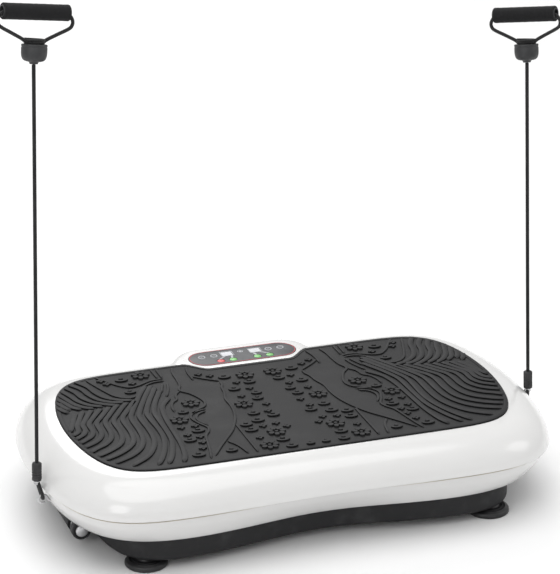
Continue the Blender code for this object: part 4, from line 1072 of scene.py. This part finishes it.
# ---------------------------------------------------------------------------
# Mains inlet and rocker switch, at the back of the tray: black moulded bodies
# with a red rocker. The boss round them is part of the tray's moulding.
# ---------------------------------------------------------------------------
BOSS_LEFT, BOSS_RIGHT, BOSS_FRONT, BOSS_BACK = 0.1450, 0.2050, 0.1620, 0.1722
BOSS_LOW, BOSS_HIGH = 0.0118, 0.0345
boss_rows = []
for y, inset in ((BOSS_FRONT, 0), (BOSS_BACK - 0.0008, 0), (BOSS_BACK - 0.0002, 0.0003), (BOSS_BACK, 0.0009)):
    left, right, low, high = BOSS_LEFT + inset, BOSS_RIGHT - inset, BOSS_LOW + inset, BOSS_HIGH - inset
    boss_rows.append([Vector((x, y, z)) for x, z in ((left, low), (right, low), (right, high), (left, high))])
place("inlet_boss", carved("inlet_boss", lofted(boss_rows), *ports()), tray_black, "base", "black_plastic")
rocker_red = plastic("rocker_red", (0.40, 0.018, 0.018), (0.52, 0.030, 0.028), 0.3)

# ---------------------------------------------------------------------------
# Frame and drive inside: zinc plated shafts, painted steel brackets, a motor
# with a steel can, a rubber belt and two circuit boards.
# ---------------------------------------------------------------------------
painted = Finish("painted_steel", Roughness=0.45, Metallic=0.2)
peel = painted.grain(260, 3)
chip = painted.grain(120, 6).step(0.70, 0.74)
painted.feed("Base Color", painted.tint(chip, (0.045, 0.047, 0.052), (0.30, 0.29, 0.28)))
painted.feed("Roughness", 0.38 + peel * 0.16)
painted.feed("Metallic", 0.15 + chip * 0.7)
painted.relief(peel, 0.00008)

board = Finish("circuit_board", Roughness=0.4)
tracks = (board.axis("X") * 1700).sine().step(0.5, 0.8) * (board.axis("Y") * 900).sine().step(-0.2, 0.1)
board.feed("Base Color", board.tint(tracks * 0.7, (0.012, 0.110, 0.050), (0.060, 0.240, 0.110)))
board.feed("Roughness", 0.34 + board.grain(300) * 0.2)
board.relief(tracks, 0.00004)

INSIDE = {painted: ("chassis_plate", "deck_plate", "pivot_bracket", "pivot_yoke", "shaft_bracket",
                    "drive_bracket", "drive_link", "motor_bracket", "motor_can"),
          bright_metal: ("pivot_shaft", "crankshaft", "drive_pin", "motor_pulley"),
          wheel_black: ("driven_pulley", "power_inlet", "switch_body"),
          moulded_rubber: ("drive_belt",), board: ("power_board", "control_board"),
          rocker_red: ("rocker_switch",)}
for made, names in INSIDE.items():
    for name in names:
        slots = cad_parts[name].data.materials
        slots.clear()
        slots.append(made.material)

# ---------------------------------------------------------------------------
# Studio: a pale floor with no edge in sight, a bright world and four broad
# soft lights, two of them weak ones that fill the front and the right.
# ---------------------------------------------------------------------------
floor_finish = Finish("pale_floor", Roughness=0.75)
floor_finish.feed("Base Color", floor_finish.tint(floor_finish.grain(2, 3),
                                                  (0.88, 0.88, 0.88), (0.91, 0.91, 0.91)))
FLOOR_HALF = 40
floor_mesh = bpy.data.meshes.new("floor")
floor_mesh.from_pydata(bar(0, 0, FLOOR_HALF, FLOOR_HALF), [], [(0, 1, 2, 3)])
floor_mesh.materials.append(floor_finish.material)
floor = bpy.data.objects.new("floor", floor_mesh)
bpy.context.scene.collection.objects.link(floor)

world = bpy.data.worlds.new("studio")
world.use_nodes = True
sky = world.node_tree.nodes["Background"]
sky.inputs["Color"].default_value = (1.0, 1.0, 1.0, 1.0)
sky.inputs["Strength"].default_value = 0.62
bpy.context.scene.world = world
bpy.context.scene.view_settings.view_transform = "Standard"
# Each light: where it is, metres across, watts
LIGHTS = {"overhead": ((-0.3, -0.2, 3.0), 3.4, 48), "behind": ((0.4, 3.6, 2.8), 2.6, 50),
          "front_left": ((-2.0, -1.8, 1.5), 1.4, 12),
          "right": ((2.0, -0.8, 1.4), 1.2, 6)}
for name, (where, across, power) in LIGHTS.items():
    lamp = bpy.data.lights.new(name, "AREA")
    lamp.shape = "DISK"
    lamp.size = across
    lamp.energy = power
    light = bpy.data.objects.new(name, lamp)
    bpy.context.scene.collection.objects.link(light)
    light.location = where
    light.rotation_euler = (Vector(where) - Vector((0, 0, 0.15))).to_track_quat("Z", "Y").to_euler()
